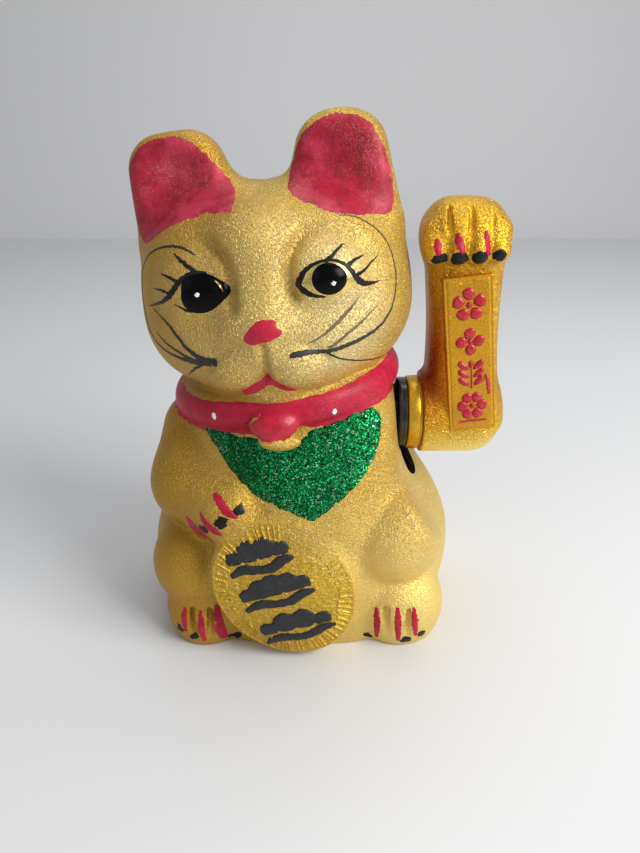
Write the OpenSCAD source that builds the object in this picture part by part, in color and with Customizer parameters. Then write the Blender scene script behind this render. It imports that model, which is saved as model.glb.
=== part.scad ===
// Beckoning cat figurine, battery driven, about 200 mm tall.
// Two hollow shell halves joined on the plane y = 0, a base plate with a
// sliding battery cover, and a swing drive that rocks the raised arm.
// X runs to the viewer's right, -Y faces the viewer, Z is up, millimetres.

/* [Shell] */
// Wall thickness of the two body halves
shell_wall = 2.0; // [1.6:0.1:2.6]
// Height of the lower edge of the shells above the table
shell_lift = 0.4; // [0.2:0.1:0.8]
// Rings of facets over the height of the shells
shell_rings = 54; // [40:1:60]
// Facets round one shell half
shell_steps = 30; // [24:1:34]
// Clear hole round the arm drive in the right shoulder
shoulder_hole_d = 31.5; // [31:0.5:34]
// Width of the slot above and below the shoulder hole
shoulder_slot_w = 14; // [8:1:18]
// Height of the foot of the shoulder slot
slot_foot_z = 57; // [52:1:60]

/* [Head] */
// Tilt of the head towards the viewer's left, degrees
head_roll = 7; // [4:1:9]
// Turn of the head towards the viewer's left, degrees
head_yaw = 8; // [4:1:10]
// Half width of the skull
head_half_w = 48.5; // [47:0.5:50]

/* [Arm] */
// Height of the swing axis
pivot_z = 86; // [84:1:88]
// Wall thickness of the two arm halves
arm_wall = 1.6; // [1.4:0.1:2.0]
// Swing to each side, degrees
swing_deg = 20; // [10:1:22]
// Diameter of the black disc at the root of the arm
disc_d = 29.4; // [27:0.2:30]
// Diameter of the flange against the arm
flange_d = 34.6; // [33:0.2:36]
// Rings of facets over the height of the arm
arm_rings = 34; // [28:1:38]

/* [Drive] */
// Diameter of the swing axle
axle_d = 4; // [3.5:0.1:4.5]
// Radial clearance of the axle in its bushes
axle_play = 0.04; // [0.02:0.01:0.08]
// Side position of the pendulum lever
lever_x = 7; // [5:1:9]
// Distance from the swing axis down to the magnet face
lever_reach = 63; // [61:1:64]
// Height of the counterweight block
weight_h = 17; // [14:1:20]
// Fore and aft offset of the counterweight
weight_y = 0.6; // [-2:0.1:3]

/* [Base] */
// Thickness of the base plate
plate_t = 3.2; // [3:0.1:4]
// Gap between the base plate and the shells
plate_gap = 0.9; // [0.8:0.1:1.4]
// Side position of the battery bay
bay_x = -30; // [-32:1:-29]
// Travel of the battery cover
cover_travel = 40; // [20:1:44]
// Travel of the switch knob
knob_travel = 3; // [2:0.5:3]

/* [Hidden] */
$fn = 48;
cell_d = 14.2;
cell_l = 49.2;
cell_z = plate_t + 0.4 + cell_d / 2;
bay_y0 = -29;
bay_y1 = 31;
cover_l = 59;
board_z = plate_t + 4;
coil_z = board_z + 1.6;
magnet_z = pivot_z - lever_reach;
post_xy = [[lever_x - 14, -15], [lever_x + 14, -15], [lever_x - 14, 15], [lever_x + 14, 15]];
frame_x0 = -16;
frame_x1 = 26;
foot_xy = [[frame_x0 + 1.5, -14], [frame_x0 + 1.5, 14], [frame_x1 + 1.5, -14], [frame_x1 + 1.5, 14]];
boss_xy = [[45, -17], [-46, -17], [43, 21], [-46, 21]];
knob_x = 37;
ear_flare = 3.4;
neck = [-4, 0, 103];

// ---------- blended solids as signed distances ----------

function smin(a, b, k) = let (h = max(0, min(1, 0.5 + 0.5 * (b - a) / k)))
    b * (1 - h) + a * h - k * h * (1 - h);
function smax(a, b, k) = -smin(-a, -b, k);

// Ellipsoid at c with radii r
function lump(p, c, r) = let (
    q = [(p[0] - c[0]) / r[0], (p[1] - c[1]) / r[1], (p[2] - c[2]) / r[2]],
    g = [q[0] / r[0], q[1] / r[1], q[2] / r[2]],
    k = norm(q)) k * (k - 1) / (norm(g) + 1e-9);

// Rod from a to b whose radius runs from ra to rb
function rod(p, a, b, ra, rb) = let (
    ab = b - a,
    t = max(0, min(1, ((p - a) * ab) / (ab * ab))))
    norm(p - a - t * ab) - (ra + (rb - ra) * t);

// A point in the frame of the head
function in_head(p) = let (
    q = p - neck,
    x1 = q[0] * cos(head_roll) + q[2] * sin(head_roll),
    z1 = -q[0] * sin(head_roll) + q[2] * cos(head_roll))
    [x1 * cos(head_yaw) - q[1] * sin(head_yaw), x1 * sin(head_yaw) + q[1] * cos(head_yaw), z1];

function head_d(p) = let (
    q = in_head(p),
    m = [abs(q[0]), q[1], q[2]],
    c = [abs(q[0] + 1), q[1], q[2]],
    d1 = lump(q, [-2, 2, 36], [head_half_w, 42, 37]),
    d2 = smin(d1, lump(c, [20, -2, 28.5], [29, 37, 25.5]), 12),
    d3 = smin(d2, lump(c, [18, 3, 51], [28, 33, 22]), 14),
    d4 = smin(d3, lump(q, [0, -31, 20], [24, 13, 15]), 12),
    d5 = smin(d4, rod(q, [0, -33, 30], [0, -28, 58], 10, 10), 14),
    d6 = smax(d5, -lump(m, [21, -50, 45], [14, 10.5, 13]), 5),
    d7 = smin(d6, lump(m, [22, -29, 45.5], [14, 11, 12.5]), 4),
    d8 = smin(d7, lump(q, [2.5, -43, 32.5], [6.5, 4.2, 4.4]), 2.5))
    smin(d8, lump(m, [9, -38, 18.5], [11, 9, 8.5]), 3);

function trunk_d(p) = let (
    z = max(0, min(115, p[2])) / 104,
    a = 58.5 - 20.5 * pow(z, 2.2) - 3 * pow(max(0, min(1, 1 - z * 104 / 14)), 2),
    b = 46 - 9 * pow(z, 3),
    f = pow(pow(abs((p[0] + 3 * z * z) / a), 2.6) + pow(abs((p[1] - 1) / b), 2.6), 1 / 2.6))
    smax((f - 1) * min(a, b), p[2] - 112, 6);

function body_d(p) = let (
    d1 = trunk_d(p),
    d2 = smin(d1, lump(p, [2, -20, 55], [36, 29.5, 36]), 8),
    d3 = smin(smin(d2, lump(p, [-1, -22, 30], [39, 28, 32]), 6),
        lump(p, [42, 0, 30], [21.5, 36, 33.5]), 6),
    d4 = smin(d3, lump(p, [-44, 0, 27], [22, 36, 29]), 6),
    d5 = smin(d4, lump(p, [37, -27, 47], [21.5, 22.5, 22]), 3),
    d6 = smin(d5, lump(p, [-43, -24, 30], [20, 22, 20]), 3),
    d7 = smin(d6, lump(p, [40, -30, 12], [19, 18, 22]), 3),
    d8 = smin(d7, lump(p, [-40.5, -30, 10], [17.5, 17.5, 20]), 3),
    arm = smin(rod(p, [-40.5, -4, 80], [-43.5, -18, 63], 17.5, 17.8),
        rod(p, [-43, -18, 66], [-27, -37, 62], 17, 14), 5),
    d9 = smin(smin(d8, arm, 3), lump(p, [-37.5, -31.5, 55.5], [9, 10, 8.5]), 3))
    smax(d9, -lump(p, [78, -18, 88], [40, 62, 50]), 6);

// How far the collar hangs down on the side of the lower paw
function collar_drop(x) = let (t = max(0, min(1, (-x - 12) / 30)))
    2.6 * t * t * (3 - 2 * t);

// Collar round the neck
function collar_d(p) = let (
    q = in_head(p),
    r = norm([(q[0] + 2.8) / 43.5, q[1] / 41]) * 41)
    norm([max(r - 37, 0), (q[2] - 1 + collar_drop(q[0])) * 0.9]) - 6;

function cat_d(p) = smin(smin(body_d(p), collar_d(p), 2), head_d(p), 2.5);

// Raised arm, swinging about an axis along X
function arm_d(p) = let (
    r = norm([p[1], p[2] - pivot_z]),
    elbow = smax(smax(r - 16.5, p[0] - 81, 14), 48.3 - p[0], 0.8),
    t = max(0, min(1, (p[2] - pivot_z) / 66)),
    xc = 65.1 - 4 * t,
    hx = 16.3 - 1.75 * sin(180 * min(1, t * 1.05)) - 1.7 * t,
    hy = 13.5 - 1.5 * t,
    f = pow(pow(abs((p[0] - xc) / hx), 2.8) + pow(abs(p[1] / hy), 2.8), 1 / 2.8),
    shaft = smax(smax((f - 1) * 13, p[2] - 164, 4), 84 - p[2], 4),
    paw = smin(lump(p, [55.3, -1.5, 158.4], [11.7, 15.4, 13.8]), lump(p, [65.3, -1.5, 158], [11.4, 15.4, 13.8]), 6),
    d1 = smin(smin(elbow, shaft, 5), paw, 3),
    fingers = [for (i = [0:3]) let (x = 47.8 + 7.5 * i, w = (i == 1 || i == 2) ? 1 : 0)
        rod(p, [x + 0.8, -8 - w, 161], [x, -13.2 - 1.5 * w, 155], 5.2, 4.6)])
    smin(smin(smin(smin(d1, fingers[0], 1.6), fingers[1], 1.6), fingers[2], 1.6), fingers[3], 1.6);

// ---------- lofting a distance field round a vertical line ----------

function cat_mid(z) = [z < 104 ? -4 * max(0, z - 40) / 64 : -4 - 0.1228 * (z - 104), 0];
function arm_mid(z) = [z < 76 ? 64 : z < 150 ? 65.3 - 5.5 * (z - pivot_z) / 66 : 59.6, -1];
function near_r(fn, c, z, a, inset, lo, hi, n) = n == 0 ? (lo + hi) / 2 :
    let (r = (lo + hi) / 2)
    fn([c[0] + r * cos(a), c[1] + r * sin(a), z]) + inset < 0
        ? near_r(fn, c, z, a, inset, r, hi, n - 1)
        : near_r(fn, c, z, a, inset, lo, r, n - 1);

// Closed solid from rings at the heights zs, with n points in each ring
module loft(fn, mid, zs, n, inset, far) {
    m = len(zs);
    pts = [for (z = zs) let (c = mid(z)) for (j = [0:n - 1])
        let (a = 360 * j / n, r = near_r(fn, c, z, a, inset, 0.4, far, 10))
        [c[0] + r * cos(a), c[1] + r * sin(a), z]];
    c0 = mid(zs[0]);
    c1 = mid(zs[m - 1]);
    polyhedron(concat(pts, [[c0[0], c0[1], zs[0]], [c1[0], c1[1], zs[m - 1]]]), concat(
        [for (i = [0:m - 2]) for (j = [0:n - 1]) let (k = (j + 1) % n)
            [i * n + j, (i + 1) * n + j, i * n + k]],
        [for (i = [0:m - 2]) for (j = [0:n - 1]) let (k = (j + 1) % n)
            [i * n + k, (i + 1) * n + j, (i + 1) * n + k]],
        [for (j = [0:n - 1]) [m * n, j, (j + 1) % n]],
        [for (j = [0:n - 1]) [m * n + 1, (m - 1) * n + (j + 1) % n, (m - 1) * n + j]]));
}

// Heights spread evenly, closing up towards the crown
function heights(z0, z1, n) = [for (i = [0:n]) let (t = i / n, e = 1 - pow(1 - t, 1.35))
    z0 + (z1 - z0) * e];

module in_head_frame() {
    translate(neck) rotate([0, -head_roll, 0]) rotate([0, 0, -head_yaw]) children();
}

// The ear on the side of the lower paw flares out by ear_flare more than the other
module ear(side, inset) {
    flare = side < 0 ? ear_flare : 0;
    hull() {
        translate([side * 19.5, -0.5, 60]) scale([1, 0.74, 1]) sphere(14 - inset, $fn = 22);
        translate([side * (37.5 + 0.7 * flare), -0.5, 58]) scale([1, 0.74, 1])
            sphere(11.5 - inset, $fn = 22);
        for (x = [25.8, 32 + flare]) translate([side * x, -1.5, 81.4]) scale([1, 0.62, 1])
            sphere(13.4 - inset, $fn = 22);
    }
}

// Hollow in the front of an ear
module ear_dish(side, inset) {
    translate([side * (28.2 + (side < 0 ? 0.5 * ear_flare : 0)), -22.5, 78.6])
        scale([20 + inset, 15.5 + inset, 20.5 + inset])
        sphere(1, $fn = 24);
}

// Oval coin that leans against the belly
module coin() {
    translate([-6.8, -42.5, 33.4]) rotate([0, -30, 0]) scale([26.6, 1, 33]) rotate([90, 0, 0]) {
        cylinder(r = 1, h = 10);
        cylinder(r = 0.95, h = 11);
    }
}

module bell() {
    translate([-6.5, -43, 97.5]) scale([8, 6.8, 7.5]) sphere(1, $fn = 24);
}

module cat_solid(inset) {
    top = 175.6 - inset * 1.1;
    loft(function (p) cat_d(p), function (z) cat_mid(z),
        heights(inset > 0 ? -1 : shell_lift, top, shell_rings),
        2 * (inset > 0 ? shell_steps - 10 : shell_steps), inset, 80);
    in_head_frame() for (s = [-1, 1]) difference() {
        ear(s, inset);
        ear_dish(s, inset);
    }
}

// Screw posts moulded on the inside of the shells, tied to the wall by a web
module shell_posts(first) {
    for (i = [first, first + 1]) let (x = boss_xy[i][0], y = boss_xy[i][1], s = sign(x))
        difference() {
            union() {
                translate([x, y, plate_t + 0.3]) cylinder(d = 6.4, h = 16, $fn = 24);
                translate([x + s * 8, y, plate_t + 8.3]) cube([16, 1.6, 16], center = true);
            }
            translate([x, y, plate_t - 1]) cylinder(d = 2.6, h = 12, $fn = 16);
        }
}

module shoulder_opening() {
    translate([30, 0, pivot_z]) rotate([0, 90, 0]) cylinder(d = shoulder_hole_d, h = 40);
    hull() for (z = [slot_foot_z + shoulder_slot_w / 2, 105 - shoulder_slot_w / 2])
        translate([30, 0, z]) rotate([0, 90, 0]) cylinder(d = shoulder_slot_w, h = 40, $fn = 48);
}

// One half of the shell; side is -1 for the front and 1 for the rear
module shell_half(side) {
    resize([0, 0, 0]) intersection() {
        translate([-120, side < 0 ? -120 : 0.02, -10]) cube([240, 120 - 0.02, 240]);
        difference() {
            union() {
                cat_solid(0);
                if (side < 0) coin();
                if (side < 0) bell();
            }
            difference() {
                cat_solid(shell_wall);
                shell_posts(side < 0 ? 0 : 2);
            }
            shoulder_opening();
            translate([bay_x - 14.2, 20, -1]) cube([28.4, 60, plate_t + 0.6]);
            translate([0, 0, -10 + shell_lift]) cube([240, 240, 20], center = true);
        }
    }
}

// ---------- printed halves and base ----------

module front_shell() {
    color("goldenrod") shell_half(-1);
}

module rear_shell() {
    color("goldenrod") shell_half(1);
}

module plate_outline() {
    n = 72;
    polygon([for (j = [0:n - 1]) let (a = 360 * j / n,
        r = min([for (z = [0.6, 2, 3.4]) near_r(function (p) cat_d(p), [0, 0], z, a,
            shell_wall + plate_gap, 1, 80, 12)]))
        [r * cos(a), r * sin(a)]]);
}

module base_plate() {
    color("dimgray") difference() {
        union() {
            linear_extrude(plate_t) plate_outline();
            for (q = post_xy) translate([q[0], q[1], plate_t - 0.01])
                cylinder(d = 5, h = board_z - plate_t + 0.01);
            translate([bay_x - 9.6, bay_y0 - 1.2, plate_t - 0.01]) cube([1.4, 62.4, 10]);
            translate([bay_x + 8.2, bay_y0 - 1.2, plate_t - 0.01]) cube([1.4, 62.4, 10]);
            translate([bay_x - 9.6, bay_y0 - 1.4, plate_t - 0.01]) cube([19.2, 1.4, 10]);
            translate([bay_x - 9.6, bay_y1, plate_t - 0.01]) cube([19.2, 1.4, 10]);
        }
        // track of the sliding cover, open to the rear
        translate([bay_x - 12, bay_y0 - 0.4, -1]) cube([24, 90, 3]);
        translate([bay_x - 13.4, bay_y0 - 0.4, 0.7]) cube([26.8, 90, 1.3]);
        // way in for the cell
        translate([bay_x - 7.6, bay_y0 + 0.6, 1]) cube([15.2, 58.8, plate_t]);
        for (q = boss_xy) translate([q[0], q[1], -1]) {
            cylinder(d = 2.9, h = 10);
            cylinder(d = 5.6, h = 2.4);
        }
        for (q = post_xy) translate([q[0], q[1], plate_t - 1]) cylinder(d = 1.7, h = 10);
        for (q = foot_xy) translate([q[0], q[1], plate_t - 2]) cylinder(d = 2.1, h = 10);
        // switch slot with a finger recess below
        translate([knob_x - 2, -3.5, -1]) cube([4, 7, 10]);
        translate([knob_x - 4.5, -6.5, -1]) cube([9, 13, 2.2]);
    }
}

module battery_cover() {
    color("dimgray") difference() {
        union() {
            translate([bay_x - 11.6, bay_y0, 0.3]) cube([23.2, cover_l, 1.5]);
            translate([bay_x - 13, bay_y0, 0.9]) cube([26, cover_l, 0.9]);
        }
        for (i = [0:4]) translate([bay_x - 6, bay_y0 + 42 + 2.6 * i, -0.1]) cube([12, 1.2, 0.9]);
    }
}

module battery_cell() {
    color("lightsteelblue") translate([bay_x, bay_y0 + 7.6, cell_z]) rotate([-90, 0, 0]) {
        cylinder(d = cell_d, h = cell_l - 0.01);
        translate([0, 0, cell_l - 0.02]) cylinder(d = 5.4, h = 1.2);
    }
}

// Coil spring swept along a helix, with its end plate
module battery_spring() {
    turns = 3.5;
    per = 12;
    m = turns * per;
    pts = [for (i = [0:m]) let (a = 360 * i / per, t = i / m, r = 4.6 - 1.6 * t)
        for (j = [0:5]) let (b = 60 * j, e = r + 0.4 * cos(b))
        [e * cos(a), e * sin(a), 0.5 + 5.6 * t + 0.4 * sin(b)]];
    color("silver") translate([bay_x, bay_y0 + 0.15, cell_z]) {
        translate([-6, 0, -5.5]) cube([12, 0.6, 11]);
        rotate([-90, 0, 0]) polyhedron(concat(pts), concat(
            [for (i = [0:m - 1]) for (j = [0:5]) let (k = (j + 1) % 6)
                [i * 6 + j, i * 6 + k, (i + 1) * 6 + k, (i + 1) * 6 + j]],
            [[5, 4, 3, 2, 1, 0]], [[for (j = [0:5]) m * 6 + j]]));
    }
}

module battery_contact() {
    color("silver") {
        translate([bay_x - 6, bay_y1 - 0.75, cell_z - 5.5]) cube([12, 0.6, 11]);
        translate([bay_x, bay_y1 - 1.9, cell_z]) rotate([-90, 0, 0]) cylinder(d = 5, h = 1.4);
    }
}

// ---------- swing drive ----------

module mechanism_frame() {
    color("whitesmoke") difference() {
        union() {
            for (x = [frame_x0, frame_x1]) {
                translate([x, -6.5, plate_t + 0.02]) cube([3, 13, pivot_z + 11.5 - plate_t]);
                translate([x - 2.5, -18, plate_t + 0.02]) cube([8, 36, 2.4]);
                translate([x, 0, pivot_z]) rotate([0, 90, 0]) cylinder(d = 16, h = 3);
            }
            translate([frame_x0, -6.5, pivot_z + 8.9]) cube([frame_x1 - frame_x0 + 3, 13, 2.62]);
        }
        translate([frame_x0 - 5, 0, pivot_z]) rotate([0, 90, 0]) cylinder(d = 8, h = 60);
        for (q = foot_xy) translate([q[0], q[1], 0]) cylinder(d = 2.9, h = 20);
    }
}

module bush(x, side) {
    color("gold") translate([x, 0, pivot_z]) rotate([0, 90, 0]) difference() {
        union() {
            cylinder(d = 8, h = 3);
            translate([0, 0, side < 0 ? -1 : 3]) cylinder(d = 11, h = 1);
        }
        translate([0, 0, -3]) cylinder(d = axle_d + 2 * axle_play, h = 10);
    }
}

module bush_inner() {
    bush(frame_x0, -1);
}

module bush_outer() {
    bush(frame_x1, 1);
}

module swing_axle() {
    color("silver") translate([frame_x0 - 4, 0, pivot_z]) rotate([0, 90, 0])
        cylinder(d = axle_d, h = 80);
}

module axle_clips() {
    color("gray") for (x = [frame_x0 - 2.0, frame_x1 - 1.0])
        translate([x, 0, pivot_z]) rotate([0, 90, 0]) difference() {
            cylinder(d = 9, h = 0.7);
            translate([0, 0, -1]) cylinder(d = axle_d, h = 3);
            translate([-0.9, 0, -1]) cube([1.8, 8, 3]);
        }
}

module along_axis(x) {
    translate([x, 0, pivot_z]) rotate([0, 90, 0]) children();
}

module arm_hub() {
    color([0.06, 0.06, 0.07]) difference() {
        union() {
            along_axis(38.8) cylinder(d = disc_d, h = 3.6);
            along_axis(32) cylinder(d = 9, h = 7);
            along_axis(42.3) cylinder(d = 12, h = 20.2);
        }
        along_axis(31) cylinder(d = axle_d, h = 40);
        along_axis(61) cylinder(d = 9, h = 3);
    }
}

module arm_socket_ring() {
    color("goldenrod") along_axis(42.45) rotate_extrude($fn = 96) polygon([[6.05, 0],
        [14.2, 0], [14.9, 0.7], [14.9, 2.4], [flange_d / 2 - 0.7, 2.7], [flange_d / 2, 3.4],
        [flange_d / 2, 4.9], [flange_d / 2 - 0.8, 5.6], [6.05, 5.6]]);
}

module arm_half(side) {
    zs = [for (i = [0:arm_rings]) let (t = i / arm_rings) 69.55 + 103.35 * (t - 0.035 * sin(360 * t))];
    inner = [for (i = [0:arm_rings - 8]) 71.4 + 99.6 * i / (arm_rings - 8)];
    resize([0, 0, 0]) intersection() {
        translate([20, side < 0 ? -60 : 0.02, 50]) cube([90, 60 - 0.02, 150]);
        difference() {
            union() {
                loft(function (p) arm_d(p), function (z) arm_mid(z), zs, 48, 0, 34);
                if (side < 0) arm_plaque();
            }
            difference() {
                loft(function (p) arm_d(p), function (z) arm_mid(z), inner, 32, arm_wall, 34);
                for (x = [50, 58]) translate([x, -30, 60]) cube([2, 60, 40]);
            }
            along_axis(40) cylinder(d = 12.2, h = 23);
            translate([20, -40, 60]) cube([28.15, 80, 44]);
        }
    }
}

// Raised name-plate panel down the front of the forearm, left blank
module arm_plaque() {
    translate([64, -13.2, 116]) rotate([-2.6, 0, 0]) rotate([0, -6.9, 0])
        cube([18.2, 5, 60.6], center = true);
}

module arm_front_half() {
    color("goldenrod") arm_half(-1);
}

module arm_rear_half() {
    color("goldenrod") arm_half(1);
}

module pendulum_lever() {
    color("ivory") difference() {
        union() {
            along_axis(lever_x - 5) cylinder(d = 13, h = 10);
            translate([lever_x - 3, -2.5, magnet_z + 4]) cube([6, 5, lever_reach - 8]);
            translate([lever_x, 0, magnet_z + 1]) cylinder(d = 13, h = 5);
        }
        along_axis(lever_x - 20) cylinder(d = axle_d, h = 40);
        translate([lever_x, 0, magnet_z - 1]) cylinder(d = 10, h = 5);
        translate([lever_x, 0, pivot_z + 1]) cylinder(d = 2.5, h = 10);
        translate([lever_x - 12, weight_y - 6.1, magnet_z + 7.9]) cube([9.1, 12.2, weight_h + 0.2]);
        translate([lever_x + 2.9, weight_y - 6.1, magnet_z + 7.9]) cube([9.1, 12.2, weight_h + 0.2]);
    }
}

module lever_set_screw() {
    color("gray") translate([lever_x, 0, pivot_z + axle_d / 2]) difference() {
        cylinder(d = 2.5, h = 5.4);
        translate([-0.25, -3, 4.6]) cube([0.5, 6, 2]);
    }
}

// Steel block straddling the lever
module counterweight() {
    color("slategray") difference() {
        translate([lever_x - 9, weight_y - 6, magnet_z + 8]) cube([18, 12, weight_h]);
        translate([lever_x - 3, -2.5, magnet_z]) cube([6, 5, 50]);
    }
}

module drive_magnet() {
    color("silver") translate([lever_x, 0, magnet_z]) cylinder(d = 10, h = 4);
}

module coil_bobbin() {
    color("whitesmoke") translate([lever_x, 0, coil_z]) difference() {
        union() {
            cylinder(d = 19, h = 1);
            cylinder(d = 7, h = 10);
            translate([0, 0, 9]) cylinder(d = 19, h = 1);
        }
        translate([0, 0, -1]) cylinder(d = 4, h = 20);
    }
}

module coil_winding() {
    color("chocolate") translate([lever_x, 0, coil_z + 1]) difference() {
        cylinder(d = 17.2, h = 8);
        translate([0, 0, -1]) cylinder(d = 7, h = 10);
    }
}

module coil_core() {
    color("gray") translate([lever_x, 0, coil_z]) cylinder(d = 4, h = 9.6);
}

module drive_board() {
    color("darkgreen") difference() {
        translate([lever_x - 17, -18, board_z]) cube([34, 36, 1.6]);
        for (q = post_xy) translate([q[0], q[1], board_z - 1]) cylinder(d = 2.4, h = 4);
    }
}

module transistor() {
    color([0.1, 0.1, 0.1]) translate([lever_x - 10, -7, coil_z + 1.5]) {
        difference() {
            cylinder(d = 4.8, h = 5);
            translate([-4, 1.2, -1]) cube([8, 4, 8]);
        }
        for (x = [-1.27, 0, 1.27]) translate([x - 0.2, -0.2, -1.5]) cube([0.4, 0.4, 1.52]);
    }
}

module capacitor() {
    color("navy") translate([lever_x + 13, -6, coil_z]) {
        translate([0, 0, 0.6]) cylinder(d = 5, h = 7);
        cylinder(d = 4.4, h = 0.7);
    }
}

module resistors() {
    color("tan") for (y = [3, 7]) translate([lever_x + 13, y, coil_z + 1.2]) {
        translate([-2.6, 0, 0]) rotate([0, 90, 0]) cylinder(d = 1.9, h = 5.2);
        for (s = [-1, 1]) {
            translate([s * 3.05, 0, -0.47]) cube([0.5, 0.5, 1.4], center = true);
            translate([s * 2.85, 0, 0]) cube([0.9, 0.5, 0.5], center = true);
        }
    }
}

// ---------- fasteners ----------

module pan_screw(d, l, head_d, head_h) {
    difference() {
        union() {
            translate([0, 0, -l]) cylinder(d = d, h = l + 0.01);
            cylinder(d = head_d, h = head_h);
        }
        for (a = [0, 90]) rotate([0, 0, a]) translate([-head_d * 0.3, -0.25, head_h * 0.45])
            cube([head_d * 0.6, 0.5, head_h]);
    }
}

module board_screws() {
    color("silver") for (q = post_xy) translate([q[0], q[1], coil_z]) pan_screw(1.7, 5, 3.6, 1.3);
}

module frame_screws() {
    color("silver") for (q = foot_xy) translate([q[0], q[1], plate_t + 2.42])
        pan_screw(2.1, 3.6, 4.4, 1.5);
}

module base_screws() {
    color("silver") for (q = boss_xy) translate([q[0], q[1], 1.4]) rotate([180, 0, 0])
        pan_screw(2.2, 8, 4.8, 1.1);
}

// ---------- switch and leads ----------

module switch_body() {
    color([0.08, 0.08, 0.08]) difference() {
        translate([knob_x - 4, -8, plate_t + 0.02]) cube([8, 16, 5]);
        translate([knob_x - 2.2, -5.4, plate_t - 1]) cube([4.4, 10.8, 4]);
    }
}

module switch_knob() {
    color("white") translate([knob_x - 1.5, -3, 0.5]) {
        cube([3, 3, 5.2]);
        translate([-0.4, -1, plate_t - 0.2]) cube([3.8, 5, 2.2]);
    }
}

function along(a, t) = let (n = len(a) - 1, i = min(n - 1, floor(t * n)), f = t * n - i,
    p0 = a[max(0, i - 1)], p1 = a[i], p2 = a[i + 1], p3 = a[min(n, i + 2)])
    0.5 * (2 * p1 + (p2 - p0) * f + (2 * p0 - 5 * p1 + 4 * p2 - p3) * f * f
        + (3 * p1 - p0 - 3 * p2 + p3) * f * f * f);

// Insulated lead swept along way points
module lead(way, d, rings) {
    s = 8;
    pts = [for (i = [0:rings]) let (t = i / rings, c = along(way, t),
        e = along(way, min(1, t + 0.02)) - along(way, max(0, t - 0.02)),
        u = e / norm(e), v = cross(u, abs(u[2]) < 0.8 ? [0, 0, 1] : [1, 0, 0]),
        w = v / norm(v), x = cross(u, w))
        for (j = [0:s - 1]) c + d / 2 * (w * cos(360 * j / s) + x * sin(360 * j / s))];
    polyhedron(pts, concat(
        [for (i = [0:rings - 1]) for (j = [0:s - 1]) let (k = (j + 1) % s)
            [i * s + j, (i + 1) * s + j, i * s + k]],
        [for (i = [0:rings - 1]) for (j = [0:s - 1]) let (k = (j + 1) % s)
            [i * s + k, (i + 1) * s + j, (i + 1) * s + k]],
        [[for (j = [0:s - 1]) j]], [[for (j = [s - 1:-1:0]) rings * s + j]]));
}

module lead_red() {
    color("red") lead([[bay_x, bay_y1 - 0.45, cell_z + 5.56], [bay_x, bay_y1 - 0.45, cell_z + 8],
        [bay_x + 9, 32, 17], [-12, 26, 12], [-2, 21, 10.6], [lever_x - 8, 12, coil_z + 0.68]], 1.2, 22);
}

module lead_black() {
    color([0.1, 0.1, 0.1]) lead([[bay_x, bay_y0 + 0.45, cell_z + 5.56], [bay_x, -28.5, cell_z + 8],
        [bay_x + 9, -31, 17], [-6, -27, 9], [18, -27, 5.4], [33, -20, 5.6], [knob_x, -8.1, 5.8]], 1.2, 26);
}

module lead_switch() {
    color("orange") lead([[knob_x, 8.1, 5.8], [36, 12, 8], [31, 12, 11.5], [25, 11, 12],
        [20.5, 10.5, coil_z + 1.5], [lever_x + 11, 10.4, coil_z + 0.68]], 1.2, 16);
}

front_shell();
rear_shell();
base_plate();
battery_cover();
battery_cell();
battery_spring();
battery_contact();
mechanism_frame();
bush_inner();
bush_outer();
swing_axle();
axle_clips();
arm_hub();
arm_socket_ring();
arm_front_half();
arm_rear_half();
pendulum_lever();
lever_set_screw();
counterweight();
drive_magnet();
coil_bobbin();
coil_winding();
coil_core();
drive_board();
transistor();
capacitor();
resistors();
board_screws();
frame_screws();
base_screws();
switch_body();
switch_knob();
lead_red();
lead_black();
lead_switch();
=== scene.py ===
"""Looks of the beckoning cat figurine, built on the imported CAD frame.

Shapes are worked out in millimetres and stored in metres, in the frame of the CAD:
X to the viewer's right, -Y towards the viewer, Z up.
"""
import math

import bmesh
import bpy
import numpy as np
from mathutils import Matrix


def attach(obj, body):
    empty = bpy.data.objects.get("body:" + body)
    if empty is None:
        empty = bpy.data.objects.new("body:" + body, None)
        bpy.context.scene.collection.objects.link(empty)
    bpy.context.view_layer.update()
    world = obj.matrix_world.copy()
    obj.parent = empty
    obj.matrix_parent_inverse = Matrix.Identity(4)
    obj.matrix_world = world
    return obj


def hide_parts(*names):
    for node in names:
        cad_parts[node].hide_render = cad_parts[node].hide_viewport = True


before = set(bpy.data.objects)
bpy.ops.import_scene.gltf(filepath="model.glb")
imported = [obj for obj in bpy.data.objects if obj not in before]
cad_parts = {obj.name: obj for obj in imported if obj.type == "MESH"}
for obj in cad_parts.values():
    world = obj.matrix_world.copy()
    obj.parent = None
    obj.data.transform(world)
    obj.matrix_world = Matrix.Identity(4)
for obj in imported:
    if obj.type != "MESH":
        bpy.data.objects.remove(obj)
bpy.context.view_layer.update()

import openvdb
from mathutils import Vector
from mathutils.bvhtree import BVHTree
from mathutils.geometry import delaunay_2d_cdt

SH, AR = "gold_shell", "gold_arm"  # the record's material slots
CAT, ARM = "cat_body", "swinging_arm"  # bodies
BODY_OF = {SH: CAT, AR: ARM}
NECK = (-4.0, 0.0, 103.0)
ROLL, YAW = 7.0, -8.0  # the head's tilt and turn, degrees
PIVOT_Z = 86.0  # height of the swing axis
WALL, ARM_WALL = 2.0, 1.6
HEAD_R, CHEST_R = 42.0, 46.0  # circles on which paint is laid out
EAR_FLARE = 3.4
COLLAR_X, COLLAR_A, COLLAR_B = -2.8, 43.5, 41.0  # collar's middle and half axes in the head's frame
COLLAR_R, COLLAR_TUBE, COLLAR_FLAT = 37.0, 6.0, 0.9
COIN_X, COIN_Z, COIN_A, COIN_B, COIN_T = -6.8, 33.4, 26.6, 33.0, math.radians(30)  # middle, halves, lean
PLATE_MID, PLATE_TURN, PLATE_LEAN = (64.0, -13.2, 116.0), math.radians(6.9), math.radians(2.6)
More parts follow.
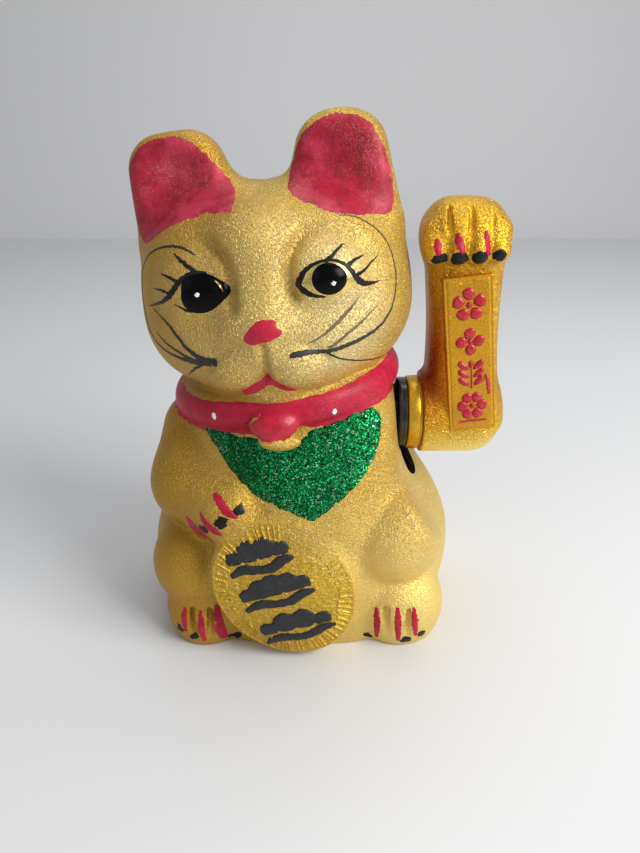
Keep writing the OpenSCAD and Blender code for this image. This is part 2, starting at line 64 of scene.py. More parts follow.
SLOT_ENDS, SLOT_R = (64, 98), 7  # shoulder slot: centre heights of its round ends, half width
SHELL_HOLE_R, ARM_HOLE_R = 15.75, 6.1
GAP = 0.03  # half the seam between two halves
FAR, TOP = 120, 300  # reach of the cutting blocks
RAY_R = 85  # circle from which paint is cast at the cat
FILM_SINK, STROKE_SINK = 0.3, 0.25  # how far a film's or a stroke's back lies in the coat


# ------------------------------------------------------------ blended solids
def smin(a, b, k):
    """Smooth minimum, blending over k mm."""
    h = np.clip(0.5 + 0.5 * (b - a) / k, 0, 1)
    return b * (1 - h) + a * h - k * h * (1 - h)


def smax(a, b, k):
    return -smin(-a, -b, k)


def lump(p, c, r):
    """Ellipsoid with centre c and half axes r."""
    q = (p - np.array(c, np.float32)) / np.array(r, np.float32)
    g = q / np.array(r, np.float32)
    k = np.sqrt((q * q).sum(-1))
    return k * (k - 1) / (np.sqrt((g * g).sum(-1)) + 1e-9)


def rod(p, a, b, ra, rb):
    """Round-ended rod from a to b, tapering from ra to rb."""
    a = np.array(a, np.float32)
    ab = np.array(b, np.float32) - a
    t = np.clip(((p - a) @ ab) / (ab @ ab), 0, 1)
    return np.linalg.norm(p - (a + t[..., None] * ab), axis=-1) - (ra + (rb - ra) * t)


def to_head(p):
    r, y = math.radians(ROLL), math.radians(YAW)
    q = p - np.array(NECK, np.float32)
    x = q[..., 0] * math.cos(r) + q[..., 2] * math.sin(r)
    z = -q[..., 0] * math.sin(r) + q[..., 2] * math.cos(r)
    return np.stack([x * math.cos(y) + q[..., 1] * math.sin(y),
                     -x * math.sin(y) + q[..., 1] * math.cos(y), z], -1)


def from_head(q):
    r, y = math.radians(ROLL), math.radians(YAW)
    x1 = q[..., 0] * math.cos(y) - q[..., 1] * math.sin(y)
    y1 = q[..., 0] * math.sin(y) + q[..., 1] * math.cos(y)
    return np.stack([x1 * math.cos(r) - q[..., 2] * math.sin(r) + NECK[0], y1 + NECK[1],
                     x1 * math.sin(r) + q[..., 2] * math.cos(r) + NECK[2]], -1)


def ear(q, side):
    """The ear on the side of the lower paw flares out a little more."""
    e = np.stack([q[..., 0] * side, q[..., 1], q[..., 2]], -1)
    w = e[..., 2]
    flare = EAR_FLARE if side < 0 else 0.0
    d = rod(e, (19.5, 0, 62), (25.8, -1, 81.4), 14.0, 13.2)
    d = smin(d, rod(e, (37 + 0.7 * flare, 0, 58), (32.0 + flare, -1, 81.2), 11.5, 13.2), 4)
    return smax(d, np.abs(e[..., 1] + 1.0 + (w - 60) * 0.02) - (10.5 - 0.12 * (w - 60)), 5)


def ear_dish(q, side):
    e = np.stack([q[..., 0] * side, q[..., 1], q[..., 2]], -1)
    return lump(e, (28.2 + (0.5 * EAR_FLARE if side < 0 else 0), -22.5, 78.6), (20, 15.5, 20.5))


def fold(q, path, width, fade=(90, 99)):
    """Soft groove profile round a path drawn on the face (x across, z up), fading out between two |x|."""
    flat = q * np.array((1, 0, 1), np.float32)
    d = None
    for (x0, z0), (x1, z1) in zip(path[:-1], path[1:]):
        e = rod(flat, (x0, 0, z0), (x1, 0, z1), 0, 0)
        d = e if d is None else np.minimum(d, e)
    return np.exp(-(d / width) ** 2) * (q[..., 1] < -12) * np.clip(
        (fade[1] - np.abs(q[..., 0])) / (fade[1] - fade[0]), 0, 1)


def head(p):
    q = to_head(p)
    m = np.stack([np.abs(q[..., 0]), q[..., 1], q[..., 2]], -1)
    c = np.stack([np.abs(q[..., 0] + 1), q[..., 1], q[..., 2]], -1)
    d = lump(q, (-2, 2, 36), (48.5, 42, 37))
    d = smin(d, lump(c, (20, -2, 28.5), (29, 37, 25.5)), 12)
    d = smin(d, lump(c, (18, 3, 51), (28, 33, 22)), 14)
    for side in (-1, 1):
        d = smin(d, smax(ear(q, side), -ear_dish(q, side), 3.5), 6)
    d = smin(d, lump(q, (0, -31, 20), (24, 13, 15)), 12)
    d = smin(d, rod(q, (0, -33, 30), (0, -28, 58), 10, 10), 14)
    d = smax(d, -lump(m, (21, -50, 45), (14.0, 10.5, 13)), 5)
    d = smin(d, lump(m, (22.0, -29.0, 45.5), (14.0, 11.0, 12.5)), 4)
    d = smin(d, lump(q, (2.5, -43.0, 32.5), (6.5, 4.2, 4.4)), 2.5)
    d = smin(d, lump(m, (9.4, -38.3, 18.5), (11, 9.2, 8.8)), 2.6)
    d = smin(d, lump(q, (1, -36, 8), (9, 7, 5)), 5)
    # folds: inner brows, nose to lip, lip line, tops of the pads
    d = d + 2.5 * fold(q, ((-7.0, 41), (-6.4, 50), (-8.4, 56), (-13.4, 60), (-20.0, 61.5)), 2.4, (10, 21))
    d = d + 2.8 * fold(q, ((13.0, 42), (12.0, 49), (13.4, 55), (17.6, 60), (24.0, 62)), 2.4, (14, 25))
    d = d + 1.7 * fold(q, ((2.2, 28.5), (1.8, 17.5)), 1.5)
    d = d + 0.7 * fold(q, ((-9.5, 10.0), (-4.0, 13.4), (1.6, 16.4), (6.4, 13.0), (11.6, 9.4)), 1.6)
    d = d + 0.7 * fold(q, ((-3.6, 27.6), (-9.0, 28.0), (-15.0, 25.4), (-19.0, 20.4)), 1.8)
    d = d + 0.7 * fold(q, ((6.6, 28.0), (12.0, 28.6), (18.0, 26.0), (22.0, 20.6)), 1.8)
    return d


def trunk(p):
    z = np.clip(p[..., 2], 0, 115) / 104
    a = 58.5 - 20.5 * z ** 2.2 - 3.0 * np.clip(1 - z * 104 / 14, 0, 1) ** 2
    b = 46.0 - 9 * z ** 3
    f = (np.abs((p[..., 0] + 3 * z ** 2) / a) ** 2.6 + np.abs((p[..., 1] - 1) / b) ** 2.6) ** (1 / 2.6)
    return smax((f - 1) * np.minimum(a, b), p[..., 2] - 112, 6)


def toes(p, c, n, step, r):
    """Shallow grooves between the toes of a foot, running down its front."""
    d = None
    for i in range(n):
        x = c[0] + step * i
        g = rod(p, (x, c[1] + 5, c[2] + 12), (x, c[1] - 2, c[2] - 12), r, r)
        d = g if d is None else np.minimum(d, g)
    return d


def torso(p):
    d = trunk(p)
    d = smin(d, lump(p, (2, -20, 55), (36, 29.5, 36)), 8)
    d = smin(d, lump(p, (-1, -22, 30), (39, 28, 32)), 6)
    d = smin(d, lump(p, (42, 0, 30), (21.5, 36, 33.5)), 6)
    d = smin(d, lump(p, (-44, 0, 27), (22, 36, 29)), 6)
    d = smin(d, lump(p, (37, -27, 47), (21.5, 22.5, 22)), 2.6)
    d = smin(d, lump(p, (-43, -24, 30), (20, 22, 20)), 2.8)
    d = smin(d, lump(p, (40, -30, 12), (19, 18, 22)), 2.8)
    d = smin(d, lump(p, (-40.5, -30, 10), (17.5, 17.5, 20)), 2.8)
    d = smax(d, -toes(p, (33.8, -49.9, 7), 2, 8.6, 1.3), 1.6)
    d = smax(d, -toes(p, (-44.4, -48.9, 6), 2, 6.8, 1.3), 1.6)
    arm = smin(rod(p, (-40.5, -4, 80), (-43.5, -18, 63), 17.5, 17.8),
               rod(p, (-43, -18, 66), (-27, -37, 62), 17, 14), 5)
    d = smin(d, arm, 2.5)
    d = smin(d, lump(p, (-37.5, -31.5, 55.5), (9, 10, 8.5)), 2.5)
    # gaps between the fingers of the lower paw
    for a, b in (((-31, -56, 71), (-25, -56, 62)), ((-37, -55, 64), (-31, -55, 56))):
        d = smax(d, -rod(p, a, b, 5.0, 4.4), 2.0)
    d = smin(d, coin_block(p), 3.2)
    return smax(d, -lump(p, (78, -18, 88), (40, 62, 50)), 6)


def coin_sag(x, z, h):
    """How far the coin bends back with the belly, x and z in its own frame, h the height."""
    k = (x / COIN_A) ** 2 + (z / COIN_B) ** 2
    return (3.6 * k * (x > 0) + 1.6 * k * (x <= 0) - 2.0 * (z / COIN_B) ** 2 * (x > 0)
            + 0.0019 * np.maximum(h - 26, 0) ** 2)


def coin_block(p):
    c, s = math.cos(COIN_T), math.sin(COIN_T)
    dx, y, dz = p[..., 0] - COIN_X, p[..., 1] + 50.5, p[..., 2] - COIN_Z
    x, z = dx * c + dz * s, -dx * s + dz * c
    k = np.sqrt((x / COIN_A) ** 2 + (z / COIN_B) ** 2)
    e = k * (k - 1) / (np.sqrt(x * x / COIN_A ** 4 + z * z / COIN_B ** 4) + 1e-9)
    return smax(e, np.abs(y - coin_sag(x, z, p[..., 2]) - 2.5) - 5.5, 2.2)


def collar_drop(x):
    """How far the collar hangs down on the side of the lower paw."""
    t = np.clip((-x - 12) / 30, 0, 1)
    return 2.6 * t * t * (3 - 2 * t)


def collar(p):
    q = to_head(p)
    r = np.sqrt(((q[..., 0] - COLLAR_X) / COLLAR_A) ** 2 + (q[..., 1] / COLLAR_B) ** 2) * COLLAR_B
    up = (q[..., 2] - 1 + collar_drop(q[..., 0])) * COLLAR_FLAT
    return np.sqrt(np.maximum(r - COLLAR_R, 0) ** 2 + up ** 2) - COLLAR_TUBE


def cat(p):
    d = smin(torso(p), collar(p), 1.6)
    d = smin(d, head(p), 1.8)
    # knot on the collar and the small bell below it
    d = smin(d, lump(p, (-9.4, -42.6, 100.0), (8.4, 4.2, 5.0)), 3.0)
    d = smin(d, lump(p, (-7.2, -42.6, 94.0), (7.6, 4.4, 3.3)), 1.2)
    d = smin(d, lump(p, (-10.4, -43.0, 95.2), (4.4, 4.0, 3.0)), 1.2)
    return d


def arm(p):
    r = np.sqrt(p[..., 1] ** 2 + (p[..., 2] - PIVOT_Z) ** 2)
    elbow = smax(smax(r - 16.5, p[..., 0] - 81, 14), 48.3 - p[..., 0], 0.8)
    t = np.clip((p[..., 2] - PIVOT_Z) / 66, 0, 1)
    xc = 65.1 - 4 * t
    hx = 16.3 - 1.75 * np.sin(np.pi * np.clip(t * 1.05, 0, 1)) - 1.7 * t
    hy = 13.5 - 1.5 * t
    f = (np.abs((p[..., 0] - xc) / hx) ** 2.8 + np.abs(p[..., 1] / hy) ** 2.8) ** (1 / 2.8)
    shaft = smax(smax((f - 1) * 13, p[..., 2] - 164, 4), 84 - p[..., 2], 4)
    paw = smin(lump(p, (55.3, -1.5, 158.4), (11.7, 15.4, 13.8)),
               lump(p, (65.3, -1.5, 158), (11.4, 15.4, 13.8)), 6)
    d = smin(smin(elbow, shaft, 5), paw, 3)
    for i in range(4):
        x, w = 47.8 + 7.5 * i, (0, 1, 1, 0)[i]
        d = smin(d, rod(p, (x + 0.8, -8 - w, 161), (x, -13.2 - 1.5 * w, 155), 4.9, 4.5), 1.4)
    # furrows between the fingers, up over the knuckles
    for x, top in ((51.8, 165.5), (59.3, 168), (66.8, 167)):
        furrow = smin(rod(p, (x, -19.0, 152), (x + 0.4, -16.6, 161.5), 1.5, 1.3),
                      rod(p, (x + 0.4, -16.6, 161.5), (x + 0.8, -9.6, top + 3.2), 1.3, 0.6), 0.5)
        d = smax(d, -furrow, 1.4)
    return d


def to_panel(p):
    """Plate frame: middle of the plate, x across, z up along the arm, outward is -y."""
    x, y, z = p[..., 0] - PLATE_MID[0], p[..., 1] - PLATE_MID[1], p[..., 2] - PLATE_MID[2]
    c, s = math.cos(PLATE_LEAN), math.sin(PLATE_LEAN)
    y, z = y * c - z * s, y * s + z * c
    c, s = math.cos(PLATE_TURN), math.sin(PLATE_TURN)
    return x * c + z * s, y, -x * s + z * c


def plaque(p):
    """Moulded plate down the front of the forearm, with a sunk line round its field."""
    x, y, z = to_panel(p)
    flat = smax(np.abs(x) - 9.1, np.abs(z) - 30.3, 0.5)
    d = smax(flat, np.abs(y) - 2.5, 0.9)
    edge = smax(np.abs(x) - 8.1, np.abs(z) - 29.3, 0.5)
    groove = np.sqrt(edge * edge + (y + 2.65) ** 2) - 0.42
    dash = rod(np.stack([x, y, z], -1), (-2.6, -2.6, 28.2), (1.8, -2.6, 28.4), 0.35, 0.35)
    return smax(smax(d, -groove, 0.3), -dash, 0.3)


# ------------------------------------------------------------ surfaces
def gradient(fn, v, e=0.06):
    out = np.empty_like(v)
    for i in range(3):
        s = np.zeros(3, np.float32)
        s[i] = e
        out[:, i] = (fn(v + s) - fn(v - s)) / (2 * e)
    return out


def surface(fn, lo, hi, h, iso=0.0, passes=2):
    """Vertices (mm) and outward quads of fn = iso on a grid of step h."""
    lo = np.array(lo, np.float32)
    n = [int(math.ceil((hi[i] - lo[i]) / (4 * h))) for i in range(3)]
    c = np.stack(np.meshgrid(*[lo[i] + 4 * h * (np.arange(n[i]) + 0.5) for i in range(3)],
                             indexing="ij"), -1).astype(np.float32)
    coarse = fn(c) - iso
    near = np.abs(coarse) < 9 * h + 3
    near = near.repeat(4, 0).repeat(4, 1).repeat(4, 2)
    field = (np.sign(coarse) * 3).repeat(4, 0).repeat(4, 1).repeat(4, 2).astype(np.float32)
    ijk = np.argwhere(near)
    for s in range(0, len(ijk), 400000):
        part = ijk[s:s + 400000]
        field[tuple(part.T)] = np.clip((fn(lo + part.astype(np.float32) * h) - iso) / h, -3, 3)
    grid = openvdb.FloatGrid(3.0)
    grid.copyFromArray(field)
    pts, quads = grid.convertToQuads(isovalue=0.0)
    v = lo + pts.astype(np.float32) * h
    start = v
    for _ in range(passes):
        g = gradient(fn, v)
        step = np.clip(fn(v) - iso, -h, h) / np.maximum((g * g).sum(-1), 0.3)
        move = v - g * step[:, None] * 0.9 - start
        size = np.linalg.norm(move, axis=1)[:, None] + 1e-9
        v = start + move * np.minimum(1, 0.7 * h / size)
    a, b, cc = v[quads[:, 0]], v[quads[:, 1]], v[quads[:, 2]]
    vol = (a * np.cross(b, cc)).sum()
    return v, (quads if vol > 0 else quads[:, ::-1])


def mesh_object(name, verts, faces, material=None, sharp=None):
    me = bpy.data.meshes.new(name)
    me.from_pydata((np.asarray(verts, np.float64) * 0.001).tolist(), [],
                   faces.tolist() if hasattr(faces, "tolist") else faces)
    me.validate()
    me.update()
    me.shade_smooth()
    if sharp:
        me.set_sharp_from_angle(angle=math.radians(sharp))
    ob = bpy.data.objects.new(name, me)
    bpy.context.scene.collection.objects.link(ob)
    if material:
        me.materials.append(material)
    return ob


def block(name, lo, hi):
    v = [(x, y, z) for x in (lo[0], hi[0]) for y in (lo[1], hi[1]) for z in (lo[2], hi[2])]
    f = [(0, 1, 3, 2), (4, 6, 7, 5), (0, 4, 5, 1), (2, 3, 7, 6), (0, 2, 6, 4), (1, 5, 7, 3)]
    return mesh_object(name, np.array(v), f)


def tube_x(name, x0, x1, r, cz, n=96):
    """Cylinder along X at height cz."""
    a = np.arange(n) * 2 * math.pi / n
    v = [(x, r * math.cos(t), cz + r * math.sin(t)) for x in (x0, x1) for t in a]
    f = [(j, n + j, n + (j + 1) % n, (j + 1) % n) for j in range(n)]
    f = [tuple(reversed(q)) for q in f]
    f += [tuple(range(n)), tuple(range(2 * n - 1, n - 1, -1))]
    return mesh_object(name, np.array(v), f)


def carve(ob, cutter, how):
    """Applies a boolean and drops the cutter."""
    face_outward(cutter.data)
    mod = ob.modifiers.new("cut", "BOOLEAN")
    mod.object = cutter
    mod.operation = how
    mod.solver = "MANIFOLD"
    dg = bpy.context.evaluated_depsgraph_get()
    new = bpy.data.meshes.new_from_object(ob.evaluated_get(dg))
    ob.modifiers.remove(mod)
    old = ob.data
    ob.data = new
    bpy.data.meshes.remove(old)
    bpy.data.objects.remove(cutter)
    if len(new.polygons) == 0:
        raise RuntimeError("the cut emptied " + ob.name)


def face_outward(me):
    """Turns every face of a closed mesh outward."""
    bm = bmesh.new()
    bm.from_mesh(me)
    bmesh.ops.recalc_face_normals(bm, faces=bm.faces)
    bm.to_mesh(me)
    bm.free()


def finish_mesh(ob, material):
    me = ob.data
    me.materials.clear()
    me.materials.append(material)
    me.shade_smooth()
    me.set_sharp_from_angle(angle=math.radians(38))


# ------------------------------------------------------------ materials
class Nodes:
    """Small helper for node trees."""

    def __init__(self, name):
        self.mat = bpy.data.materials.new(name)
        self.mat.use_nodes = True
        self.tree = self.mat.node_tree
        self.shader = self.tree.nodes["Principled BSDF"]
        self.pos = self.add("ShaderNodeTexCoord").outputs["Object"]

    def add(self, kind, **kw):
        n = self.tree.nodes.new(kind)
        for k, v in kw.items():
            setattr(n, k, v)
        return n

    def put(self, value, socket):
        if isinstance(value, bpy.types.NodeSocket):
            self.tree.links.new(value, socket)
        else:
            socket.default_value = value

    def math(self, op, a, b=0.0, c=0.0, clamp=False):
        n = self.add("ShaderNodeMath", operation=op, use_clamp=clamp)
        for s, v in zip(n.inputs, (a, b, c)):
            self.put(v, s)
        return n.outputs[0]

    def noise(self, scale, detail=2.0, rough=0.5, distort=0.0):
        n = self.add("ShaderNodeTexNoise")
        self.put(self.pos, n.inputs["Vector"])
        n.inputs["Scale"].default_value = scale
        n.inputs["Detail"].default_value = detail
        n.inputs["Roughness"].default_value = rough
        n.inputs["Distortion"].default_value = distort
        return n.outputs[0]

    def cells(self, scale, out):
        n = self.add("ShaderNodeTexVoronoi")
        self.put(self.pos, n.inputs["Vector"])
        n.inputs["Scale"].default_value = scale
        return n.outputs[out]

    def steps(self, fac, stops):
        """Colour that changes at once at each (position, colour)."""
        n = self.add("ShaderNodeValToRGB")
        self.put(fac, n.inputs[0])
        e = n.color_ramp.elements
        n.color_ramp.interpolation = "CONSTANT"
        while len(e) < len(stops):
            e.new(0.5)
        for el, (at, col) in zip(e, stops):
            el.position = at
            el.color = (*col, 1)
        return n.outputs[0]

    def mix(self, fac, a, b):
        n = self.add("ShaderNodeMix", data_type="RGBA")
        self.put(fac, n.inputs[0])
        for s, v in ((n.inputs[6], a), (n.inputs[7], b)):
            self.put((*v, 1) if isinstance(v, tuple) and len(v) == 3 else v, s)
        return n.outputs[2]

    def bump(self, height, strength, distance):
        n = self.add("ShaderNodeBump")
        self.put(height, n.inputs["Height"])
        n.inputs["Strength"].default_value = strength
        n.inputs["Distance"].default_value = distance
        return n.outputs[0]

    def mul(self, a, b, **kw):
        return self.math("MULTIPLY", a, b, **kw)

    def plus(self, a, b, **kw):
        return self.math("ADD", a, b, **kw)

    def less(self, a, b, **kw):
        return self.math("SUBTRACT", a, b, **kw)

    def axis(self, i, at=None):
        n = self.add("ShaderNodeSeparateXYZ")
        self.put(at or self.pos, n.inputs[0])
        return n.outputs[i]

    def set(self, **kw):
        names = {"color": "Base Color", "metal": "Metallic", "rough": "Roughness", "normal": "Normal",
                 "coat": "Coat Weight", "coat_rough": "Coat Roughness", "spec": "Specular IOR Level"}
        for k, v in kw.items():
            if isinstance(v, tuple) and len(v) == 3:
                v = (*v, 1)
            self.put(v, self.shader.inputs[names[k]])
        return self.mat


def span(n, value, lo, hi):
    """0 at lo, 1 at hi, clamped."""
    m = n.add("ShaderNodeMapRange")
    n.put(value, m.inputs[0])
    m.inputs[1].default_value = lo
    m.inputs[2].default_value = hi
    return m.outputs[0]


def along(n, i, lo, hi):
    """0 at lo and 1 at hi along the object's axis i, in metres."""
    return span(n, n.axis(i), lo, hi)


def crinkle(n, grain):
    """Fine worm-like wrinkles of the coat, as a height from 0 to 1; grain in metres."""
    wob = n.noise(1.05 / grain, 1.0, 0.5, 0.6)
    a = n.math("ABSOLUTE", n.less(wob, 0.5))
    worm = n.less(1.0, n.mul(a, 11.0), clamp=True)
    cut = span(n, n.noise(2.1 / grain, 1.0, 0.5, 0.0), 0.40, 0.58)
    worm = n.mul(worm, cut)
    fine = n.noise(3.4 / grain, 2.0, 0.6)
    return worm, fine


def gold(name, grain, deep, mid, pale, rough, height, worms=1.0, smooth_low=False, painted_light=None, metal=0.9,
         crest_highlight=0.6):
    """Crinkled gold coat: deep and mid in broad patches, painted highlights pale on the crests, painted shade
    dark in the hollows.
    """
    n = Nodes(name)
    worm, fine = crinkle(n, grain)
    broad = n.noise(22, 3.0, 0.55)
    base = n.mix(span(n, broad, 0.35, 0.65), deep, mid)
    amount = worms
    if smooth_low:
        z = n.axis(2)
        patch = n.noise(35, 2.0, 0.5)
        amount = n.mul(worms, n.plus(0.35, n.mul(0.65, span(
            n, n.plus(z, n.mul(patch, 0.05)), 0.05, 0.11))))
    lit = n.mul(worm, amount, clamp=True)
    # painted highlight: the crests of the wrinkles mixed towards pale
    colour = n.mix(n.mul(lit, crest_highlight), base, pale)
    # painted shade: darker in the hollows of the wrinkles
    dark = n.mul(span(n, fine, 0.50, 0.36), 0.72)
    colour = n.mix(dark, colour, tuple(c * 0.55 for c in deep))
    # painted light and shade laid over the whole piece, where one is given
    if painted_light:
        colour = painted_light(n, colour)
    h = n.plus(n.mul(lit, 0.7), n.mul(fine, 0.5))
    normal = n.bump(h, 1.0, height)
    r = n.plus(rough, n.mul(n.less(fine, 0.5), 0.25))
    return n.set(color=colour, metal=metal, rough=r, normal=normal, coat=0.04, coat_rough=0.3)


def enamel(name, colour, shade, rough=0.3, coat=0.5, grain=0.0011, height=0.00012, gild=0.0, spec=0.35,
           patchy=0.0):
    """Brushed-on paint over the crinkled coat; gild lets gold specks through."""
    n = Nodes(name)
    worm, fine = crinkle(n, grain)
    streak = n.noise(260, 3.0, 0.6, 0.4)
    col = n.mix(span(n, streak, 0.3, 0.7), shade, colour)
    if patchy:
        patch = span(n, n.noise(75, 2.5, 0.55, 0.5), 0.48, 0.66)
        col = n.mix(n.mul(patch, patchy), col, (0.72, 0.06, 0.13))
    if gild:
        speck = n.mul(worm, span(n, n.noise(60, 2.0, 0.5), 0.45, 0.7))
        col = n.mix(n.mul(speck, gild), col, (0.85, 0.36, 0.24))
    h = n.plus(n.mul(worm, 0.6), n.mul(fine, 0.6))
    return n.set(color=col, rough=rough, normal=n.bump(h, 0.8, height), coat=coat, coat_rough=0.2, spec=spec)


def plain(name, colour, rough=0.45, metal=0.0, grain=900, height=0.00002, coat=0.0, vary=0.15):
    """Moulded plastic or bare metal with a little unevenness."""
    n = Nodes(name)
    f = n.noise(grain, 3.0, 0.6)
    b = n.noise(60, 2.0, 0.5)
    dark = tuple(c * (1 - vary) for c in colour)
    light = tuple(min(1, c * (1 + vary)) for c in colour)
    col = n.mix(span(n, b, 0.35, 0.65), dark, light)
    r = n.plus(rough - 0.06, n.mul(f, 0.12))
    return n.set(color=col, rough=r, metal=metal, normal=n.bump(f, 0.5, height), coat=coat)


def glitter(name):
    """Loose metal flakes, each with its own green and its own lean."""
    n = Nodes(name)
    flakes = 2500
    rnd = n.cells(flakes, "Color")
    val = n.axis(0, rnd)
    col = n.steps(val, [(0.0, (0.0, 0.018, 0.003)), (0.30, (0.0, 0.10, 0.022)), (0.54, (0.0, 0.32, 0.065)),
                        (0.78, (0.0, 0.64, 0.18)), (0.89, (0.14, 1.0, 0.44)), (0.965, (0.80, 1.0, 0.84))])
    broad = n.noise(40, 2.0, 0.5)
    col = n.mix(n.mul(span(n, broad, 0.5, 0.3), 0.5), col, (0.0, 0.05, 0.012))
    # painted shade: the flakes darker towards the viewer's left, away from the light
    col = n.mix(n.mul(along(n, 0, 0.006, -0.034), 0.45), col, (0.0, 0.05, 0.010))
    pos = n.cells(flakes, "Position")
    # the height falls across each flake along a direction of its own
    rel = n.add("ShaderNodeVectorMath", operation="SUBTRACT")
    n.put(n.pos, rel.inputs[0])
    n.put(pos, rel.inputs[1])
    lean = n.add("ShaderNodeVectorMath", operation="SUBTRACT")
    n.put(rnd, lean.inputs[0])
    lean.inputs[1].default_value = (0.5, 0.5, 0.5)
    dot = n.add("ShaderNodeVectorMath", operation="DOT_PRODUCT")
    n.put(rel.outputs[0], dot.inputs[0])
    n.put(lean.outputs[0], dot.inputs[1])
    normal = n.bump(n.mul(dot.outputs["Value"], 1.3), 1.0, 1.0)
    return n.set(color=col, metal=0.88, rough=0.3, normal=normal, coat=0.08, coat_rough=0.15, spec=0.3)


M = {}  # materials by short name


def shell_light_and_shade(n, colour):
    """Painted light and shade on the shell: painted shade in deeper ochre to the viewer's left, painted
    highlights pale on the lower right and on the face, painted shade dark inside the slot.
    """
    # painted shade: deeper ochre on the side away from the window light, the viewer's left
    side = n.mul(along(n, 0, -0.008, -0.052), 0.75)
    colour = n.mix(side, colour, (0.47, 0.23, 0.006))
    # painted highlight: paler gold on the lower right, where the window light falls
    low = n.mul(along(n, 0, 0.0, 0.03), along(n, 2, 0.080, 0.045))
    colour = n.mix(n.mul(low, 0.45), colour, (1.0, 0.80, 0.30))
    # painted highlight: paler cream on the face, stronger towards the viewer's right
    face = n.mul(along(n, 1, -0.026, -0.040), along(n, 2, 0.110, 0.124))
    face = n.mul(face, n.plus(0.13, n.mul(along(n, 0, -0.012, 0.020), 0.27)))
    colour = n.mix(face, colour, (1.0, 0.90, 0.56))
    # painted shade: near black inside the shoulder slot, where little light reaches
    past = n.less(n.math("ABSOLUTE", n.less(n.axis(2), 0.081)), 0.017)
    past = n.math("MAXIMUM", past, 0.0)
    off = n.plus(n.math("POWER", n.math("ABSOLUTE", n.axis(1)), 2.0), n.math("POWER", past, 2.0))
    slot = n.mul(span(n, off, 0.00712 ** 2, 0.00706 ** 2), along(n, 0, 0.0300, 0.0305))
    return n.mix(slot, colour, (0.004, 0.003, 0.002))


M["shell"] = gold("gold_shell", 0.00150, (0.54, 0.315, 0.030), (0.80, 0.54, 0.095), (1.0, 0.88, 0.50),
                  0.45, 0.00058, smooth_low=True, metal=0.68, painted_light=shell_light_and_shade, crest_highlight=0.62)


def arm_light_and_shade(n, colour):
    """Colour down the forearm's sides and on the elbow: orange and brown on the left are airbrushed tone with
    painted shade and a painted reflection of the red collar, olive on the right is painted shade, and the
    pale elbow is a painted highlight.
    """
    x, z = n.axis(0), n.axis(2)
    low = n.mul(span(n, z, 0.086, 0.100), span(n, z, 0.146, 0.114))
    # left side, orange then dark brown: airbrushed tone with painted shade and painted reflection of the red
    # collar; right side, olive: painted shade
    for x0, x1, amount, tone in ((0.0635, 0.0580, 0.60, (0.95, 0.27, 0.006)),
                                 (0.0568, 0.0520, 0.78, (0.24, 0.022, 0.004)),
                                 (0.0735, 0.0775, 0.50, (0.40, 0.17, 0.010))):
        colour = n.mix(n.mul(n.mul(span(n, x, x0, x1), low), amount), colour, tone)
    # painted highlight: the elbow below the pivot paler
    return n.mix(n.mul(span(n, z, 0.086, 0.076), 0.9), colour, (1.0, 0.80, 0.18))


M["arm"] = gold("gold_arm", 0.0017, (0.62, 0.30, 0.010), (0.90, 0.53, 0.024), (1.0, 0.82, 0.26),
                0.34, 0.00055, worms=0.8, painted_light=arm_light_and_shade, metal=0.82)
M["plaque"] = gold("gold_plaque", 0.0014, (0.60, 0.28, 0.012), (0.76, 0.39, 0.018), (0.98, 0.68, 0.14),
                   0.40, 0.00014, worms=0.3, metal=0.75)
M["ring"] = gold("gold_ring", 0.0016, (0.66, 0.36, 0.016), (0.85, 0.52, 0.03), (0.95, 0.72, 0.16),
                 0.34, 0.00005, worms=0.15, metal=0.75)
M["red"] = enamel("crimson_paint", (0.56, 0.008, 0.050), (0.36, 0.003, 0.024), rough=0.45, coat=0.10,
                  gild=0.2, height=0.00016, spec=0.22)
M["knot"] = enamel("knot_crimson", (0.56, 0.008, 0.036), (0.38, 0.004, 0.02), rough=0.36, coat=0.25)
M["ear"] = enamel("ear_paint", (0.50, 0.010, 0.044), (0.27, 0.002, 0.014), rough=0.42, coat=0.10, gild=0.5,
                  height=0.00030, spec=0.30, patchy=0.55)
M["lip"] = enamel("lip_paint", (0.56, 0.010, 0.045), (0.42, 0.006, 0.03), rough=0.45, coat=0.1)
M["black"] = enamel("black_paint", (0.009, 0.009, 0.010), (0.005, 0.005, 0.006), rough=0.42, coat=0.08,
                    spec=0.2)
M["ink"] = enamel("whisker_paint", (0.02, 0.018, 0.016), (0.04, 0.033, 0.022), rough=0.45, coat=0.0)
M["faint"] = enamel("thin_whisker_paint", (0.11, 0.085, 0.05), (0.22, 0.15, 0.06), rough=0.45, coat=0.0,
                    gild=0.5)
M["eye"] = plain("eye_gloss", (0.0014, 0.0014, 0.0018), rough=0.24, height=0.000006)
M["eye"].node_tree.nodes["Principled BSDF"].inputs["Specular IOR Level"].default_value = 0.11
M["white"] = plain("white_dots", (0.85, 0.84, 0.82), rough=0.35)
# gold of the right eye's corners, also used for the painted highlight on the left eye
M["sclera"] = gold("eye_corner_gold_and_glint", 0.0016, (0.60, 0.40, 0.10), (0.80, 0.58, 0.18), (1.0, 0.9, 0.6), 0.3,
                   0.00004, worms=0.3)
M["coinblack"] = enamel("coin_black", (0.022, 0.023, 0.027), (0.010, 0.010, 0.012), rough=0.42, coat=0.1,
                        height=0.0003)
M["green"] = glitter("green_glitter")


# ------------------------------------------------------------ body and arm
def nested(name, fn, lo, hi, h, wall, h_in):
    """Closed outer skin, with its closed inner skin turned inside out; h and h_in are their grid steps."""
    vo, fo = surface(fn, lo, hi, h)
    vi, fi = surface(fn, lo, hi, h_in, iso=-wall)
    ob = mesh_object(name, np.concatenate([vo, vi]), np.concatenate([fo, fi[:, ::-1] + len(vo)]))
    return ob, vo, fo


